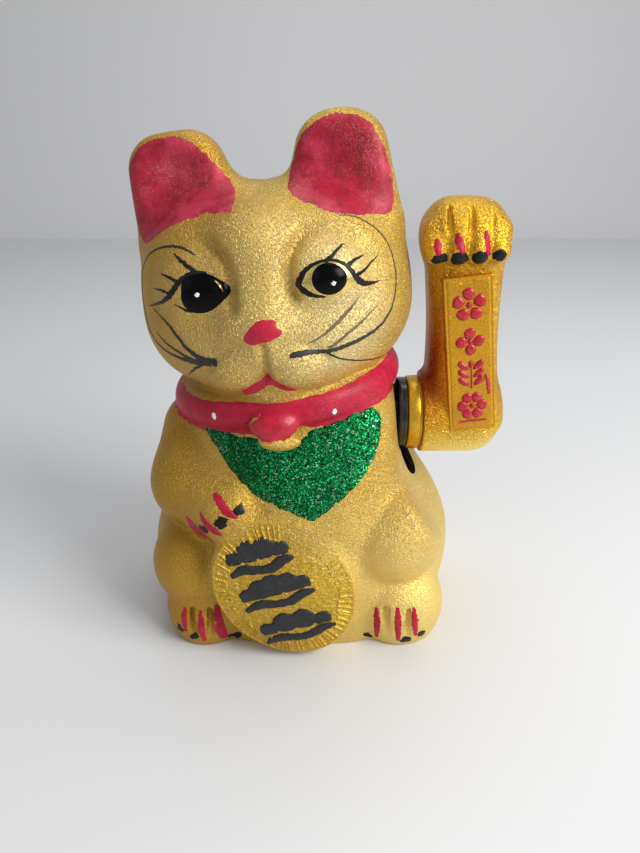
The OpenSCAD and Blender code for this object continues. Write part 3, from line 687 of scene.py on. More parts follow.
def split(whole, names, replaced, floor, left, material, slot):
    """Cuts a moulding into its front and rear halves, from x = left and z = floor on."""
    for key, lo, hi in (("front", (left, -FAR, floor), (FAR, -GAP, TOP)),
                        ("rear", (left, GAP, floor), (FAR, FAR, TOP))):
        part = whole.copy()
        part.data = whole.data.copy()
        part.name = names % key
        bpy.context.scene.collection.objects.link(part)
        carve(part, block("side", lo, hi), "INTERSECT")
        finish_mesh(part, material)
        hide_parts(replaced % key)
        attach(part, BODY_OF[slot])
    bpy.data.objects.remove(whole)


body, skin_v, skin_f = nested("cat_whole", cat, (-74, -62, -6), (70, 54, 206), 1.0,
                              WALL, 2.0)
carve(body, tube_x("hole", 30, 70, SHELL_HOLE_R, PIVOT_Z), "DIFFERENCE")
carve(body, block("slot", (30, -SLOT_R, SLOT_ENDS[0]), (70, SLOT_R, SLOT_ENDS[1])), "DIFFERENCE")
for end in SLOT_ENDS:
    carve(body, tube_x("slot_end", 30, 70, SLOT_R, end), "DIFFERENCE")
carve(body, block("notch", (-44.2, 20, -20), (-15.8, 90, 3.8)), "DIFFERENCE")
split(body, "shell_%s", "%s_shell", 0.4, -FAR, M["shell"], SH)

limb, arm_v, arm_f = nested("arm_whole", arm, (40, -24, 64), (88, 22, 180), 0.62,
                            ARM_WALL, 1.3)
carve(limb, tube_x("hole", 40, 63, ARM_HOLE_R, PIVOT_Z), "DIFFERENCE")
split(limb, "arm_%s", "arm_%s_half", 0, 0, M["arm"], AR)

plate_v, plate_f = surface(plaque, (48, -20, 80), (80, -8, 152), 0.28)
plate = mesh_object("arm_plaque", plate_v, plate_f, M["plaque"])
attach(plate, ARM)

CAT_TREE = BVHTree.FromPolygons(skin_v.tolist(), skin_f.tolist())
ARM_TREE = BVHTree.FromPolygons(arm_v.tolist(), arm_f.tolist())


# ------------------------------------------------------------ painted films
def cast(tree, fn, origins, dirs):
    """Points on the surface, and the outward normals there."""
    pts, last = [], None
    for o, d in zip(origins, dirs):
        hit = tree.ray_cast(Vector(o), Vector(d))[0]
        if hit is None:
            hit = tree.find_nearest(last if last is not None else Vector(o) + Vector(d) * 30)[0]
        last = hit
        pts.append(hit)
    v = np.array([tuple(p) for p in pts], np.float32)
    # from the mesh onto the true surface
    g = gradient(fn, v, 0.25)
    g /= np.linalg.norm(g, axis=1)[:, None] + 1e-9
    v = v - g * np.clip(fn(v), -0.4, 0.4)[:, None]
    return v, g


def on_head(uv):
    """u along the cheek (mm on a 42 mm circle), v height in the head."""
    uv = np.asarray(uv, np.float32)
    a = uv[:, 0] / HEAD_R
    o = np.stack([RAY_R * np.sin(a), -RAY_R * np.cos(a), uv[:, 1]], -1)
    e = np.stack([0 * a, 0 * a, uv[:, 1]], -1)
    return cast(CAT_TREE, cat, from_head(o), from_head(e) - from_head(o))


def on_ear(uv):
    """u and v across and up the head's own frame."""
    uv = np.asarray(uv, np.float32)
    o = np.stack([uv[:, 0], np.full(len(uv), -80.0), uv[:, 1]], -1)
    d = from_head(o + np.array([0, 1, 0])) - from_head(o)
    return cast(CAT_TREE, cat, from_head(o), d)


def on_chest(uv):
    """u along the chest (mm on a 46 mm circle), v the height."""
    uv = np.asarray(uv, np.float32)
    a = uv[:, 0] / CHEST_R
    o = np.stack([-2 + RAY_R * np.sin(a), -RAY_R * np.cos(a), uv[:, 1]], -1)
    return cast(CAT_TREE, cat, o, np.stack([-np.sin(a), np.cos(a), 0 * a], -1))


def straight(tree, fn, uv, start):
    """u and v are x and z; the ray starts at y = start and runs straight back."""
    uv = np.asarray(uv, np.float32)
    o = np.stack([uv[:, 0], np.full(len(uv), start), uv[:, 1]], -1)
    return cast(tree, fn, o, np.tile([0, 1, 0], (len(uv), 1)))


def on_front(uv):
    return straight(CAT_TREE, cat, uv, -90.0)


def on_arm(uv):
    return straight(ARM_TREE, arm, uv, -60.0)


def spline(pts, closed, step):
    """Catmull-Rom through pts (any width), sampled about every step."""
    p = np.asarray(pts, np.float64)
    n = len(p)
    out = []
    for i in range(n if closed else n - 1):
        a, b, c, d = (p[(i + k) % n] if closed else p[min(max(i + k, 0), n - 1)] for k in (-1, 0, 1, 2))
        m = max(1, int(round(np.linalg.norm((c - b)[:2]) / step)))
        for j in range(m):
            t = j / m
            out.append(0.5 * (2 * b + (c - a) * t + (2 * a - 5 * b + 4 * c - d) * t * t
                              + (3 * b - a - 3 * c + d) * t ** 3))
    if not closed:
        out.append(p[-1])
    return np.array(out)


def wobble(uv, amount, wave, seed):
    """Ragged edge: pushes points by smooth noise made of fixed sines."""
    rng = np.random.RandomState(seed)
    out = uv.copy()
    for k in range(5):
        f = 2 * math.pi / (wave * (0.6 + 0.5 * k))
        d = rng.uniform(-1, 1, (2, 2))
        ph = rng.uniform(0, 6.28, 2)
        for i in range(2):
            out[:, i] += amount * 0.5 * np.sin(f * (uv[:, 0] * d[i, 0] + uv[:, 1] * d[i, 1]) * 1.5 + ph[i])
    return out


def seg_dist(p, a, b):
    """Distance of each point from the nearest of the segments a to b."""
    ab = b - a
    t = np.clip(((p[:, None] - a[None]) * ab[None]).sum(-1) / ((ab * ab).sum(-1)[None] + 1e-12), 0, 1)
    c = a[None] + t[..., None] * ab[None]
    return np.sqrt(((p[:, None] - c) ** 2).sum(-1).min(1))


def inside(p, poly):
    """Which points lie within a closed outline."""
    x, y = p[:, :1], p[:, 1:2]
    (ax, ay), (bx, by) = poly.T, np.roll(poly, -1, 0).T
    crossing = (bx - ax) * (y - ay) / (by - ay + 1e-12) + ax
    return (((ay > y) != (by > y)) & (x < crossing)).sum(1) % 2 == 1


def film_data(outline, place, thick, ease, step, ragged, seed, smooth=True):
    """Closed thin solid inside an outline in (u, v); ease is how gently its edge rises to thick."""
    edge = spline(outline, True, step) if smooth else np.asarray(outline, np.float64)
    if ragged:
        edge = wobble(edge, ragged, 2.4, seed)
    lo, hi = edge.min(0), edge.max(0)
    gx, gy = np.meshgrid(np.arange(lo[0], hi[0], step), np.arange(lo[1], hi[1], step))
    gx[::2] += step / 2
    g = np.stack([gx.ravel(), gy.ravel()], -1)
    nxt = np.roll(edge, -1, 0)
    g = g[inside(g, edge)]
    dist = seg_dist(g, edge, nxt)
    keep = dist > 0.45 * step
    uv = np.concatenate([edge, g[keep]])
    depth = np.concatenate([np.zeros(len(edge)), dist[keep]])
    res = delaunay_2d_cdt([Vector(q) for q in uv], [], [list(range(len(edge)))], 1, 1e-6)
    if len(res[0]) != len(uv):
        uv = np.array([tuple(q) for q in res[0]])
        depth = np.where(inside(uv, edge), seg_dist(uv, edge, nxt), 0)
    tris = [tuple(f) for f in res[2]]
    pos, nrm = place(uv)
    lift = 0.03 + thick * (1 - np.exp(-depth / ease))
    top = pos + nrm * lift[:, None]
    low = pos - nrm * FILM_SINK
    k = len(uv)
    count = {}
    for t in tris:
        for i in range(3):
            e = (t[i], t[(i + 1) % 3])
            count[e] = count.get(e, 0) + 1
    sides = [(b, a, a + k, b + k) for (a, b) in count if (b, a) not in count]
    faces = tris + [tuple(j + k for j in reversed(t)) for t in tris] + sides
    # outward: the first triangle's normal agrees with the surface
    a, b, c = (top[i] for i in tris[0])
    if np.dot(np.cross(b - a, c - a), nrm[tris[0][0]]) < 0:
        faces = [tuple(reversed(f)) for f in faces]
    return np.concatenate([top, low]), faces


def stroke_data(path, place, thick, step, ragged, seed):
    """Brush stroke along (u, v, width) points."""
    p = spline(path, False, step)
    if ragged:
        p[:, :2] = wobble(p[:, :2], ragged, 2.0, seed)
        p[:, 2] *= 1 + 0.12 * np.sin(np.arange(len(p)) * 1.7 + seed)
    t = np.gradient(p[:, :2], axis=0)
    t /= np.linalg.norm(t, axis=1)[:, None] + 1e-9
    side = np.stack([-t[:, 1], t[:, 0]], -1)
    w = np.maximum(p[:, 2], 0.12) / 2
    offs = np.array([-1, -0.7, 0, 0.7, 1])
    rise = np.array([0.05, 0.75, 1, 0.75, 0.05]) * thick
    uv = (p[:, None, :2] + side[:, None] * (w[:, None] * offs[None])[..., None]).reshape(-1, 2)
    pos, nrm = place(uv)
    m, k = len(p), 5
    top = pos + nrm * (0.02 + np.tile(rise, m) * np.repeat(np.minimum(1, p[:, 2] / 0.8), k))[:, None]
    low = pos - nrm * STROKE_SINK
    v = np.concatenate([top, low])
    o = m * k
    f = []
    for i in range(m - 1):
        for j in range(k - 1):
            a, b, c, d = i * k + j, i * k + j + 1, (i + 1) * k + j + 1, (i + 1) * k + j
            f.append((a, b, c, d))
            f.append((d + o, c + o, b + o, a + o))
        a, d = i * k, (i + 1) * k
        f.append((a, d, d + o, a + o))
        a, d = i * k + k - 1, (i + 1) * k + k - 1
        f.append((d, a, a + o, d + o))
    for i, rev in ((0, False), (m - 1, True)):
        for j in range(k - 1):
            a, b = i * k + j, i * k + j + 1
            q = (b, a, a + o, b + o)
            f.append(tuple(reversed(q)) if rev else q)
    a, b, d = v[0], v[1], v[k]
    if np.dot(np.cross(b - a, d - a), nrm[0]) < 0:
        f = [tuple(reversed(q)) for q in f]
    return v, f


def disc_outline(c, r, n=28, squash=1.0, turn=0.0):
    a = np.arange(n) * 2 * math.pi / n
    x, y = r * np.cos(a), r * squash * np.sin(a)
    t = math.radians(turn)
    return [(c[0] + x[i] * math.cos(t) - y[i] * math.sin(t),
             c[1] + x[i] * math.sin(t) + y[i] * math.cos(t)) for i in range(n)]


def paint(name, parts, material, slot):
    """One object from several films or strokes."""
    vs, fs, base = [], [], 0
    for v, f in parts:
        vs.append(v)
        fs += [tuple(i + base for i in q) for q in f]
        base += len(v)
    ob = mesh_object(name, np.concatenate(vs), fs, material, sharp=60)
    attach(ob, BODY_OF[slot])


def films(name, outlines, place, material, slot=SH, thick=0.18, ease=0.25, step=0.8, ragged=0.12,
          smooth=True):
    paint(name, [film_data(o, place, thick, ease, step, ragged, 3 + i, smooth)
                 for i, o in enumerate(outlines)], material, slot)


def strokes(name, paths, place, material, slot=SH, thick=0.14, ragged=0.08):
    paint(name, [stroke_data(q, place, thick, 0.5, ragged, 5 + i) for i, q in enumerate(paths)],
          material, slot)


# eyes
films("eye_left", [[(-22.7, 47.2), (-23.1, 44.5), (-22.8, 42.1), (-21.7, 40.2), (-19.5, 39.3), (-16.6, 39.4),
    (-13.6, 40.6), (-10.5, 42.7), (-8.3, 44.8), (-7.7, 46.3), (-8.9, 48.4), (-10.8, 49.9), (-13.4, 51.2),
    (-16.1, 52), (-18.6, 52.3), (-20.8, 51.9), (-22.2, 50.6), (-22.6, 49)]], on_head, M["eye"], thick=1.1,
    ease=2.6, step=0.6, ragged=0.0)
films("eye_right_corners", [[(16, 45.7), (17.1, 48), (19.7, 50.6), (22.9, 51.9), (25.9, 51.9), (28.5, 50.8),
    (30.1, 48.6), (32.4, 43.4), (30.2, 42.4), (27.5, 41.4), (24.4, 40.9), (21.2, 41.4), (18.6, 43)]], on_head,
    M["sclera"], thick=0.3, ease=0.8, step=0.7, ragged=0.0)
films("eye_right", [disc_outline((24.2, 46.6), 5.25)], on_head, M["eye"], thick=1.5, ease=2.6, step=0.55,
    ragged=0.0)
films("eye_lights", [disc_outline((-18.2, 45.7), 0.95, 14), disc_outline((24.9, 45.5), 0.95, 14)], on_head,
    M["white"], thick=1.75, ease=0.08, step=0.4, ragged=0.0)
# painted highlight: a gold glint arc on the right of the left eye
strokes("eye_glint", [[(-12.2, 49.6, 0.3), (-10.9, 48.4, 0.75), (-10.1, 46.9, 0.6), (-9.9, 45.4, 0.25)]],
    on_head, M["sclera"], thick=1.25)
strokes("eye_lines_left", [[(-15, 52.1, 0.5), (-17.4, 52.3, 0.9), (-20.9, 52.1, 1.2), (-22.7, 50.7, 1.7),
    (-24.2, 48.9, 1.9), (-26.6, 46, 1.8), (-30.4, 43.6, 1.3), (-36, 41.7, 0.9), (-41.2, 40.2, 0.3)],
    [(-20.6, 39.8, 0.5), (-22.3, 40.4, 0.8), (-24, 41.6, 0.6), (-25.8, 43, 0.2)], [(-18.3, 52.4, 1.2),
    (-23.8, 55.7, 0.95), (-29.4, 58.1, 0.25)], [(-23.4, 49.8, 1), (-27, 51.5, 0.85), (-31.5, 52.5, 0.25)],
    [(-26, 46.3, 1), (-31, 47.3, 0.8), (-37.2, 47, 0.25)]], on_head, M["black"], thick=0.2)
strokes("eye_lines_right", [[(22.8, 41.2, 0.4), (21.5, 41.5, 1.1), (19.1, 42.3, 1.7), (16.9, 43.9, 2.3),
    (16.2, 45.7, 2.3), (16.7, 47.8, 1.9), (18.6, 50.2, 1.3), (21.6, 51.9, 0.95), (25.4, 52.3, 0.95),
    (28.5, 50.9, 1.3), (30.3, 48.2, 2), (32.4, 44.8, 2.3), (35.3, 42.7, 1.8), (39, 41.6, 1.1),
    (42.3, 41.4, 0.2)], [(24.1, 52, 1.4), (26.8, 53.6, 0.95), (30.7, 55.4, 0.5), (32.6, 55.7, 0.2)],
    [(29.2, 49.7, 1.4), (33, 50.7, 0.95), (38.7, 50.9, 0.2)], [(32.3, 46.2, 1.4), (36.2, 46.7, 0.95),
    (41, 48, 0.6), (44.7, 49.6, 0.2)]], on_head, M["black"], thick=0.2)

# whiskers and the long curved brow lines
strokes("whiskers_left", [[(-38, 39.6, 0.3), (-31.7, 36.3, 0.8), (-27.8, 32.2, 1.2), (-23.9, 27.3, 1.5),
    (-19.3, 24, 2.3), (-14.5, 22.9, 2.5), (-13.3, 22.8, 1.2)], [(-37, 31.7, 0.3), (-33, 28.4, 0.8),
    (-27.7, 25.4, 1.2), (-21.3, 22.6, 1.9), (-16.5, 22.3, 2.2)], [(-20.5, 21.6, 1.1), (-26.3, 18.2, 0.7),
    (-31.5, 14.8, 0.25)]], on_head, M["ink"])
strokes("brow_line_left", [[(-49.5, 50.7, 0.5), (-49, 44, 0.55), (-46, 36.2, 0.6), (-42, 29.8, 0.75),
    (-37, 26, 1), (-29.5, 23.4, 1.5), (-20.5, 22.4, 2.2)]], on_head, M["ink"])
strokes("brow_line_left_top", [[(-20.8, 57.4, 0.3), (-25.8, 59.2, 0.6), (-33, 60, 0.75), (-40, 59, 0.75),
    (-46, 56, 0.7), (-49.5, 50.7, 0.6)]], on_head, M["ink"])
strokes("whiskers_right", [[(20.6, 22.8, 0.7), (25.2, 19.4, 0.6), (33.2, 15.6, 0.55), (43.9, 12.4, 0.5),
    (54, 10.5, 0.25)]], on_head, M["ink"])
strokes("whiskers_right_faint", [[(21.6, 24.2, 1.1), (27.3, 27.5, 1), (33.1, 30.8, 0.8), (39, 34.2, 0.25)],
    [(15, 26.8, 0.2), (20.5, 29.2, 0.8), (27.6, 33.8, 1.2), (33.3, 39.2, 0.3)]], on_head, M["faint"])
strokes("brow_line_right", [[(37, 63.5, 0.2), (42, 62.5, 0.4), (46.5, 59, 0.55), (49.8, 54, 0.6),
    (51, 48.6, 0.6), (50.4, 42, 0.6), (48.2, 36.2, 0.65), (44.6, 31, 0.8), (40.2, 27.6, 1.05),
    (35.4, 25.4, 1.3), (28.4, 23.9, 1.5), (20.9, 23.3, 1.5), (15.6, 24.2, 1.6), (12, 24.4, 2),
    (9.5, 24.4, 1.5)]], on_head, M["ink"])

# nose and mouth
films("nose_paint", [[(-3.3, 31.7), (-2, 33.6), (0.2, 35.7), (2.4, 37), (5.3, 36.8), (7, 36), (7.1, 34.1),
    (8.5, 32.6), (7.3, 31.3), (3.9, 29.9), (0.3, 29.3), (-2, 29.5), (-3.3, 30.7)]], on_head, M["lip"],
    thick=0.12, step=0.6, ragged=0.1)
films("mouth_paint", [[(-8, 12), (-3.7, 14.6), (-0.9, 15.9), (1.4, 17.9), (2.5, 16.8), (5.3, 14.8),
    (10.2, 10.3), (7.5, 10.5), (4.9, 12), (2.3, 13.6), (0.9, 13.6), (-1.1, 12.1), (-4.9, 10.4), (-8.9, 9.3)]],
    on_head, M["lip"], thick=0.3, step=0.5, ragged=0.05)

# ears
films("ear_paint_left", [[(-48.6, 72), (-47.8, 80), (-45, 87), (-40, 91.4), (-32.5, 93), (-25, 92),
    (-19.2, 88.4), (-14.4, 82), (-9.6, 76), (-5.6, 71), (-5.4, 69.2), (-8, 68.8), (-15.5, 68.6), (-24.1, 67),
    (-33.5, 64.2), (-40.5, 60.2), (-46, 60.4), (-48.4, 66)]], on_ear, M["ear"], thick=0.14, step=1.0,
    ragged=0.25)
films("ear_paint_right", [[(11, 74.7), (12.8, 82), (17.6, 88.8), (24, 92.6), (31.2, 93.2), (38.2, 90.4),
    (43, 83.8), (45.4, 73.5), (45.9, 64), (44.4, 60.8), (36.1, 62), (25.4, 65.3), (17, 69), (11.8, 71.6)]],
    on_ear, M["ear"], thick=0.14, step=1.0, ragged=0.25)


# collar band
def on_collar(uv):
    """As on_head, but never on the shoulder where that rises in front of the collar."""
    hit, nrm = on_head(uv)
    a = uv[:, 0] / HEAD_R
    drop = collar_drop(COLLAR_A * np.sin(a) + COLLAR_X)
    up = (uv[:, 1] - 1 + drop) * COLLAR_FLAT
    r = COLLAR_R + np.sqrt(np.maximum(COLLAR_TUBE ** 2 - up ** 2, 0))
    x = COLLAR_A / COLLAR_B * r * np.sin(a) + COLLAR_X
    ring = from_head(np.stack([x, -r * np.cos(a), uv[:, 1]], -1).astype(np.float32))
    n2 = gradient(collar, ring + 0.01, 0.2)
    n2 /= np.linalg.norm(n2, axis=1)[:, None] + 1e-9
    off = (np.abs(collar(hit)) > 2.2)[:, None]
    return np.where(off, ring, hit), np.where(off, n2, nrm)


def band(name, up, down, material):
    """Film all round the collar between two (u, v) edges."""
    n, m = 300, 15
    a = np.arange(n) / n * 2 * math.pi - math.pi
    u = a * HEAD_R
    top = np.interp(u, *zip(*up), period=2 * math.pi * HEAD_R) + 0.10 * np.sin(u * 0.9)
    bot = np.interp(u, *zip(*down), period=2 * math.pi * HEAD_R) + 0.18 * np.sin(u * 1.1 + 1)
    drop = collar_drop(COLLAR_A * np.sin(a) + COLLAR_X)
    top, bot = top - drop, bot - drop
    uv = np.array([(u[i], bot[i] + (top[i] - bot[i]) * j / (m - 1)) for i in range(n) for j in range(m)])
    pos, nrm = on_collar(uv)
    rise = np.tile(0.03 + 0.2 * np.minimum(1, np.minimum(np.arange(m), np.arange(m)[::-1]) / 1.5), n)
    v = np.concatenate([pos + nrm * rise[:, None], pos - nrm * FILM_SINK])
    o = n * m
    f = []
    for i in range(n):
        k = (i + 1) % n
        for j in range(m - 1):
            f.append((i * m + j, k * m + j, k * m + j + 1, i * m + j + 1))
            f.append((i * m + j + 1 + o, k * m + j + 1 + o, k * m + j + o, i * m + j + o))
        f.append((k * m, i * m, i * m + o, k * m + o))
        f.append((i * m + m - 1, k * m + m - 1, k * m + m - 1 + o, i * m + m - 1 + o))
    ob = mesh_object(name, v, f, material, sharp=60)
    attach(ob, CAT)


band("collar_paint", [(-131, 7.4), (-60, 7.4), (-36, 7.2), (-24, 6.7), (-12, 6.4), (0, 6.4), (10.6, 6),
    (20, 6), (28, 6.4), (40, 7), (70, 7.4), (131, 7.4)], [(-131, -6.5), (-60, -6.3), (-33, -5.6), (-20, -6),
    (-10, -7.4), (-3, -5.4), (2.3, -4), (6.5, -4.2), (9.3, -5.4), (13, -6.8), (20, -7.2), (29, -6.2),
    (38, -6.2), (51, -6.8), (70, -6.6), (131, -6.5)], M["red"])
films("collar_dots", [disc_outline((-21.7, 0.9), 1.25, 16, 1.3), disc_outline((22.4, -1.1), 1.2, 16, 1.3)],
    on_head, M["white"], thick=0.34, ease=0.1, step=0.5, ragged=0.0)

films("knot_paint", [[(-18.2, 98.2), (-16, 102.6), (-12, 105.4), (-6.6, 105.8), (-2, 104.2), (0.2, 100.8),
    (-1.6, 97.4), (-6, 96.2), (-11, 95.8), (-15.6, 96)]], on_front, M["knot"], thick=0.28, ease=0.6, step=0.7,
    ragged=0.25)

# glitter bib
films("glitter_bib", [[(-41.6, 93.4), (-36.7, 93.8), (-28.6, 93.4), (-20.8, 92.6), (-12.5, 92.8),
    (-8.9, 91.6), (-4.2, 90.4), (0.4, 91.2), (4.2, 94), (8, 96.2), (14.3, 97.6), (22.2, 99.9), (26.7, 100.9),
    (35.3, 101), (39.4, 97.5), (37.4, 92.1), (34.8, 87.5), (30.2, 81.8), (23.8, 75.9), (16.2, 70.7),
    (10.2, 66.6), (5.7, 64.4), (0.9, 65.8), (-3.9, 67.8), (-11.6, 70.6), (-18.1, 74), (-25.6, 79.6),
    (-32.6, 86.4), (-40.2, 92)]], on_chest, M["green"], thick=0.55, ease=0.6, step=0.9, ragged=0.3)

# lower paw and feet
strokes("paw_claws", [[(-32, 73, 1.4), (-31.2, 72.5, 2.2), (-29.4, 71, 2.9), (-26, 68, 2.7),
    (-23, 66.2, 0.5)], [(-37.4, 66, 0.8), (-35.4, 62.9, 2.9), (-32.2, 60.6, 3.3), (-29, 59, 0.8)],
    [(-44.2, 59.8, 1.4), (-41.6, 56.6, 4.4), (-38, 53.8, 5.2), (-33.2, 52.2, 1.4)]], on_front, M["red"],
    thick=0.25, ragged=0.12)
films("paw_pads", [disc_outline((-22.6, 68.6), 2.2, 18, 0.8, 30), disc_outline((-29.2, 64.6), 2.8, 20, 0.7,
    30), disc_outline((-36.6, 59.2), 2.4, 18, 0.8, 35)], on_front, M["black"], thick=0.1, step=0.6,
    ragged=0.45)
strokes("foot_claws_left", [[(-47.6, 19, 1.2), (-48.2, 14.2, 2.5), (-48, 8.1, 1.2)], [(-41, 18.9, 1.2),
    (-41, 11.9, 2.9), (-40.4, 3.8, 1.5)], [(-34.6, 20.5, 1.8), (-34.2, 11.6, 4.4), (-32.2, 3, 2.6)]],
    on_front, M["red"], ragged=0.15)
films("foot_pads_left", [disc_outline((-50.6, 8.4), 1.7, 16, 1.2), disc_outline((-44.6, 5.6), 1.9, 16, 0.8),
    disc_outline((-28.6, 3), 3.0, 18, 0.6)], on_front, M["black"], thick=0.1, step=0.6, ragged=0.4)
strokes("foot_claws_right", [[(29.6, 19.2, 1.2), (30.2, 12.9, 2.6), (30.2, 3.4, 1.4)], [(38.2, 21, 1.3),
    (38.3, 14.4, 2.8), (38.9, 4.4, 1.5)], [(44.6, 20.6, 1.1), (45.3, 14, 2.6), (46.2, 6.4, 1.3)]], on_front,
    M["red"], ragged=0.15)
films("foot_pads_right", [disc_outline((26.9, 3.2), 2.0, 16, 0.8), disc_outline((42.4, 4.4), 2.6, 18, 0.8),
    disc_outline((48.6, 6.2), 1.9, 16, 1.0)], on_front, M["black"], thick=0.1, step=0.6, ragged=0.4)

# raised paw
films("raised_paw_pads", [disc_outline((49.2, 152.6), 2.9, 20, 0.8), disc_outline((56, 153), 3.2, 20, 0.82),
    disc_outline((63.2, 153.6), 2.9, 20, 0.82), disc_outline((70, 154.2), 2.7, 20, 0.75)], on_arm, M["black"],
    AR, thick=0.2, step=0.5, ragged=0.2)
strokes("raised_paw_claws", [[(48, 159.6, 1.2), (48.2, 157.2, 2.9), (48.5, 154.2, 1.5)], [(54.8, 161.6, 1.3),
    (55.5, 158.6, 3.1), (56.6, 154.8, 1.6)], [(64.4, 162.4, 1.3), (65.4, 158.4, 2.2), (66, 154.2, 2)]],
    on_arm, M["red"], AR, thick=0.2)


# ------------------------------------------------------------ belly coin
def coin_point(x, z, lift):
    """Point of the coin's face, lifted off it by lift mm."""
    c, s = math.cos(COIN_T), math.sin(COIN_T)
    h = np.maximum(x * s + z * c + COIN_Z, 0.5)
    return np.stack([x * c - z * s + COIN_X, coin_sag(x, z, h) - 53.5 - lift, h], -1)


def coin_height(x, z):
    """Relief over the coin's face: soft rim, paired ridges, a ring and moulded threads."""
    rho = np.sqrt((x / COIN_A) ** 2 + (z / COIN_B) ** 2)
    ang = np.arctan2(z / COIN_B, x / COIN_A)
    h = 0.25 * np.exp(-((rho - 0.955) / 0.02) ** 2)
    ph = (ang * 34 / (2 * math.pi) + 0.16 * np.sin(ang * 9 + 1) + 0.1 * np.sin(ang * 23)) % 1.0
    lines = np.exp(-((ph - 0.3) / 0.1) ** 2) + np.exp(-((ph - 0.7) / 0.1) ** 2)
    inner = 0.74 + 0.02 * np.sin(ang * 11)
    run = np.clip((rho - inner) / 0.03, 0, 1) * np.clip((0.94 - rho) / 0.025, 0, 1)
    link = np.exp(-((rho - inner - 0.02) / 0.014) ** 2) * (np.abs(ph - 0.5) < 0.24)
    h += run * (0.55 * lines - 0.18) + 0.35 * link
    wrinkle = np.sin(x * 1.9 + 2 * np.sin(z * 0.9)) * np.sin(z * 1.7 + x * 0.4)
    return h + 0.12 * wrinkle * (rho < 0.92)


def coin_face():
    """The coin's face as one closed relief over the CAD coin."""
    nr, na = ((120, 900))
    rho = np.linspace(0, 0.995, nr)[1:]
    ang = np.arange(na) * 2 * math.pi / na
    r, a = np.meshgrid(rho, ang, indexing="ij")
    x, z = COIN_A * r * np.cos(a), COIN_B * r * np.sin(a)
    top = coin_point(x, z, 0.2 + coin_height(x, z))
    top[..., 1] += np.clip((r - 0.935) / 0.06, 0, 1) ** 2 * 2.2
    n = (nr - 1) * na
    zero = np.array([0.0])
    v = np.concatenate([top.reshape(-1, 3), coin_point(x[-1] * 0.97, z[-1] * 0.97, -3.2),
                        coin_point(zero, zero, 0.2 + coin_height(zero, zero)), coin_point(zero, zero, -3.2)])
    f = []
    for i in range(nr - 2):
        for j in range(na):
            k = (j + 1) % na
            f.append((i * na + j, i * na + k, (i + 1) * na + k, (i + 1) * na + j))
    for j in range(na):
        k = (j + 1) % na
        f.append((n + na, k, j))
        f.append(((nr - 2) * na + j, (nr - 2) * na + k, n + k, n + j))
        f.append((n + na + 1, n + j, n + k))
    ob = mesh_object("belly_coin_face", v, f, M["coin"])
    face_outward(ob.data)
    ob.data.shade_smooth()
    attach(ob, CAT)


def on_coin(uv):
    """u across and v up the coin's leaning frame."""
    uv = np.asarray(uv, np.float32)
    pos = coin_point(uv[:, 0], uv[:, 1], 0.22)
    du = coin_point(uv[:, 0] + 0.3, uv[:, 1], 0.22) - pos
    dv = coin_point(uv[:, 0], uv[:, 1] + 0.3, 0.22) - pos
    nrm = np.cross(du, dv)
    return pos.astype(np.float32), (nrm / np.linalg.norm(nrm, axis=1)[:, None]).astype(np.float32)


def brush_outline(path, step=0.5):
    """Outline of a round-ended brush mark along (u, v, width) points."""
    p = spline(path, False, step)
    t = np.gradient(p[:, :2], axis=0)
    t /= np.linalg.norm(t, axis=1)[:, None] + 1e-9
    side = np.stack([-t[:, 1], t[:, 0]], -1)
    w = p[:, 2:3] / 2

    def cap(i, sign):
        k = np.linspace(0, math.pi, 7)[1:-1]
        return p[i, :2] + w[i] * (np.cos(k)[:, None] * side[i] * sign + np.sin(k)[:, None] * t[i] * sign)

    return np.concatenate([p[:, :2] + side * w, cap(-1, 1), (p[:, :2] - side * w)[::-1], cap(0, -1)])


M["coin"] = gold("coin_gold", 0.0018, (0.52, 0.30, 0.018), (0.70, 0.45, 0.035), (0.98, 0.80, 0.30),
                 0.48, 0.00034, worms=0.8, metal=0.7)
coin_face()


def to_lean(pts):
    """Turns points drawn upright about the coin's middle into its leaning frame."""
    c, s = math.cos(COIN_T), math.sin(COIN_T)
    p = np.asarray(pts, np.float64)
    return np.column_stack([p[:, 0] * c + p[:, 1] * s, -p[:, 0] * s + p[:, 1] * c, p[:, 2:]])


def turned(pts, mid, tilt):
    """Points turned by tilt degrees and moved to mid."""
    p = np.asarray(pts, np.float64)
    c, s = math.cos(math.radians(tilt)), math.sin(math.radians(tilt))
    return np.column_stack([p[:, 0] * c - p[:, 1] * s + mid[0], p[:, 0] * s + p[:, 1] * c + mid[1], p[:, 2:]])


def cloud(w, h, lobes):
    """Outline of a cloud of round lobes on a flat foot, w half width and h height."""
    i = np.arange(lobes + 1) / lobes
    r = h * (0.34 + 0.20 * np.sin(math.pi * (i * 0.9 + 0.05)))
    cx, cz = (w - r[0]) * (2 * i - 1), 1.55 * r - 0.45 * h
    x = -w * np.cos(np.linspace(0, math.pi, 60))
    rise = np.sqrt(np.maximum(r[:, None] ** 2 - (x - cx[:, None]) ** 2, 0))
    inside_disc = np.abs(x - cx[:, None]) <= r[:, None] + 1e-6
    top = np.where(inside_disc, cz[:, None] + rise, -1e3).max(0)
    low = np.maximum(np.where(inside_disc, cz[:, None] - rise, 1e3).min(0), -0.12 * h)
    return np.concatenate([np.stack([x, top], -1), np.stack([x, low], -1)[1:-1][::-1]])


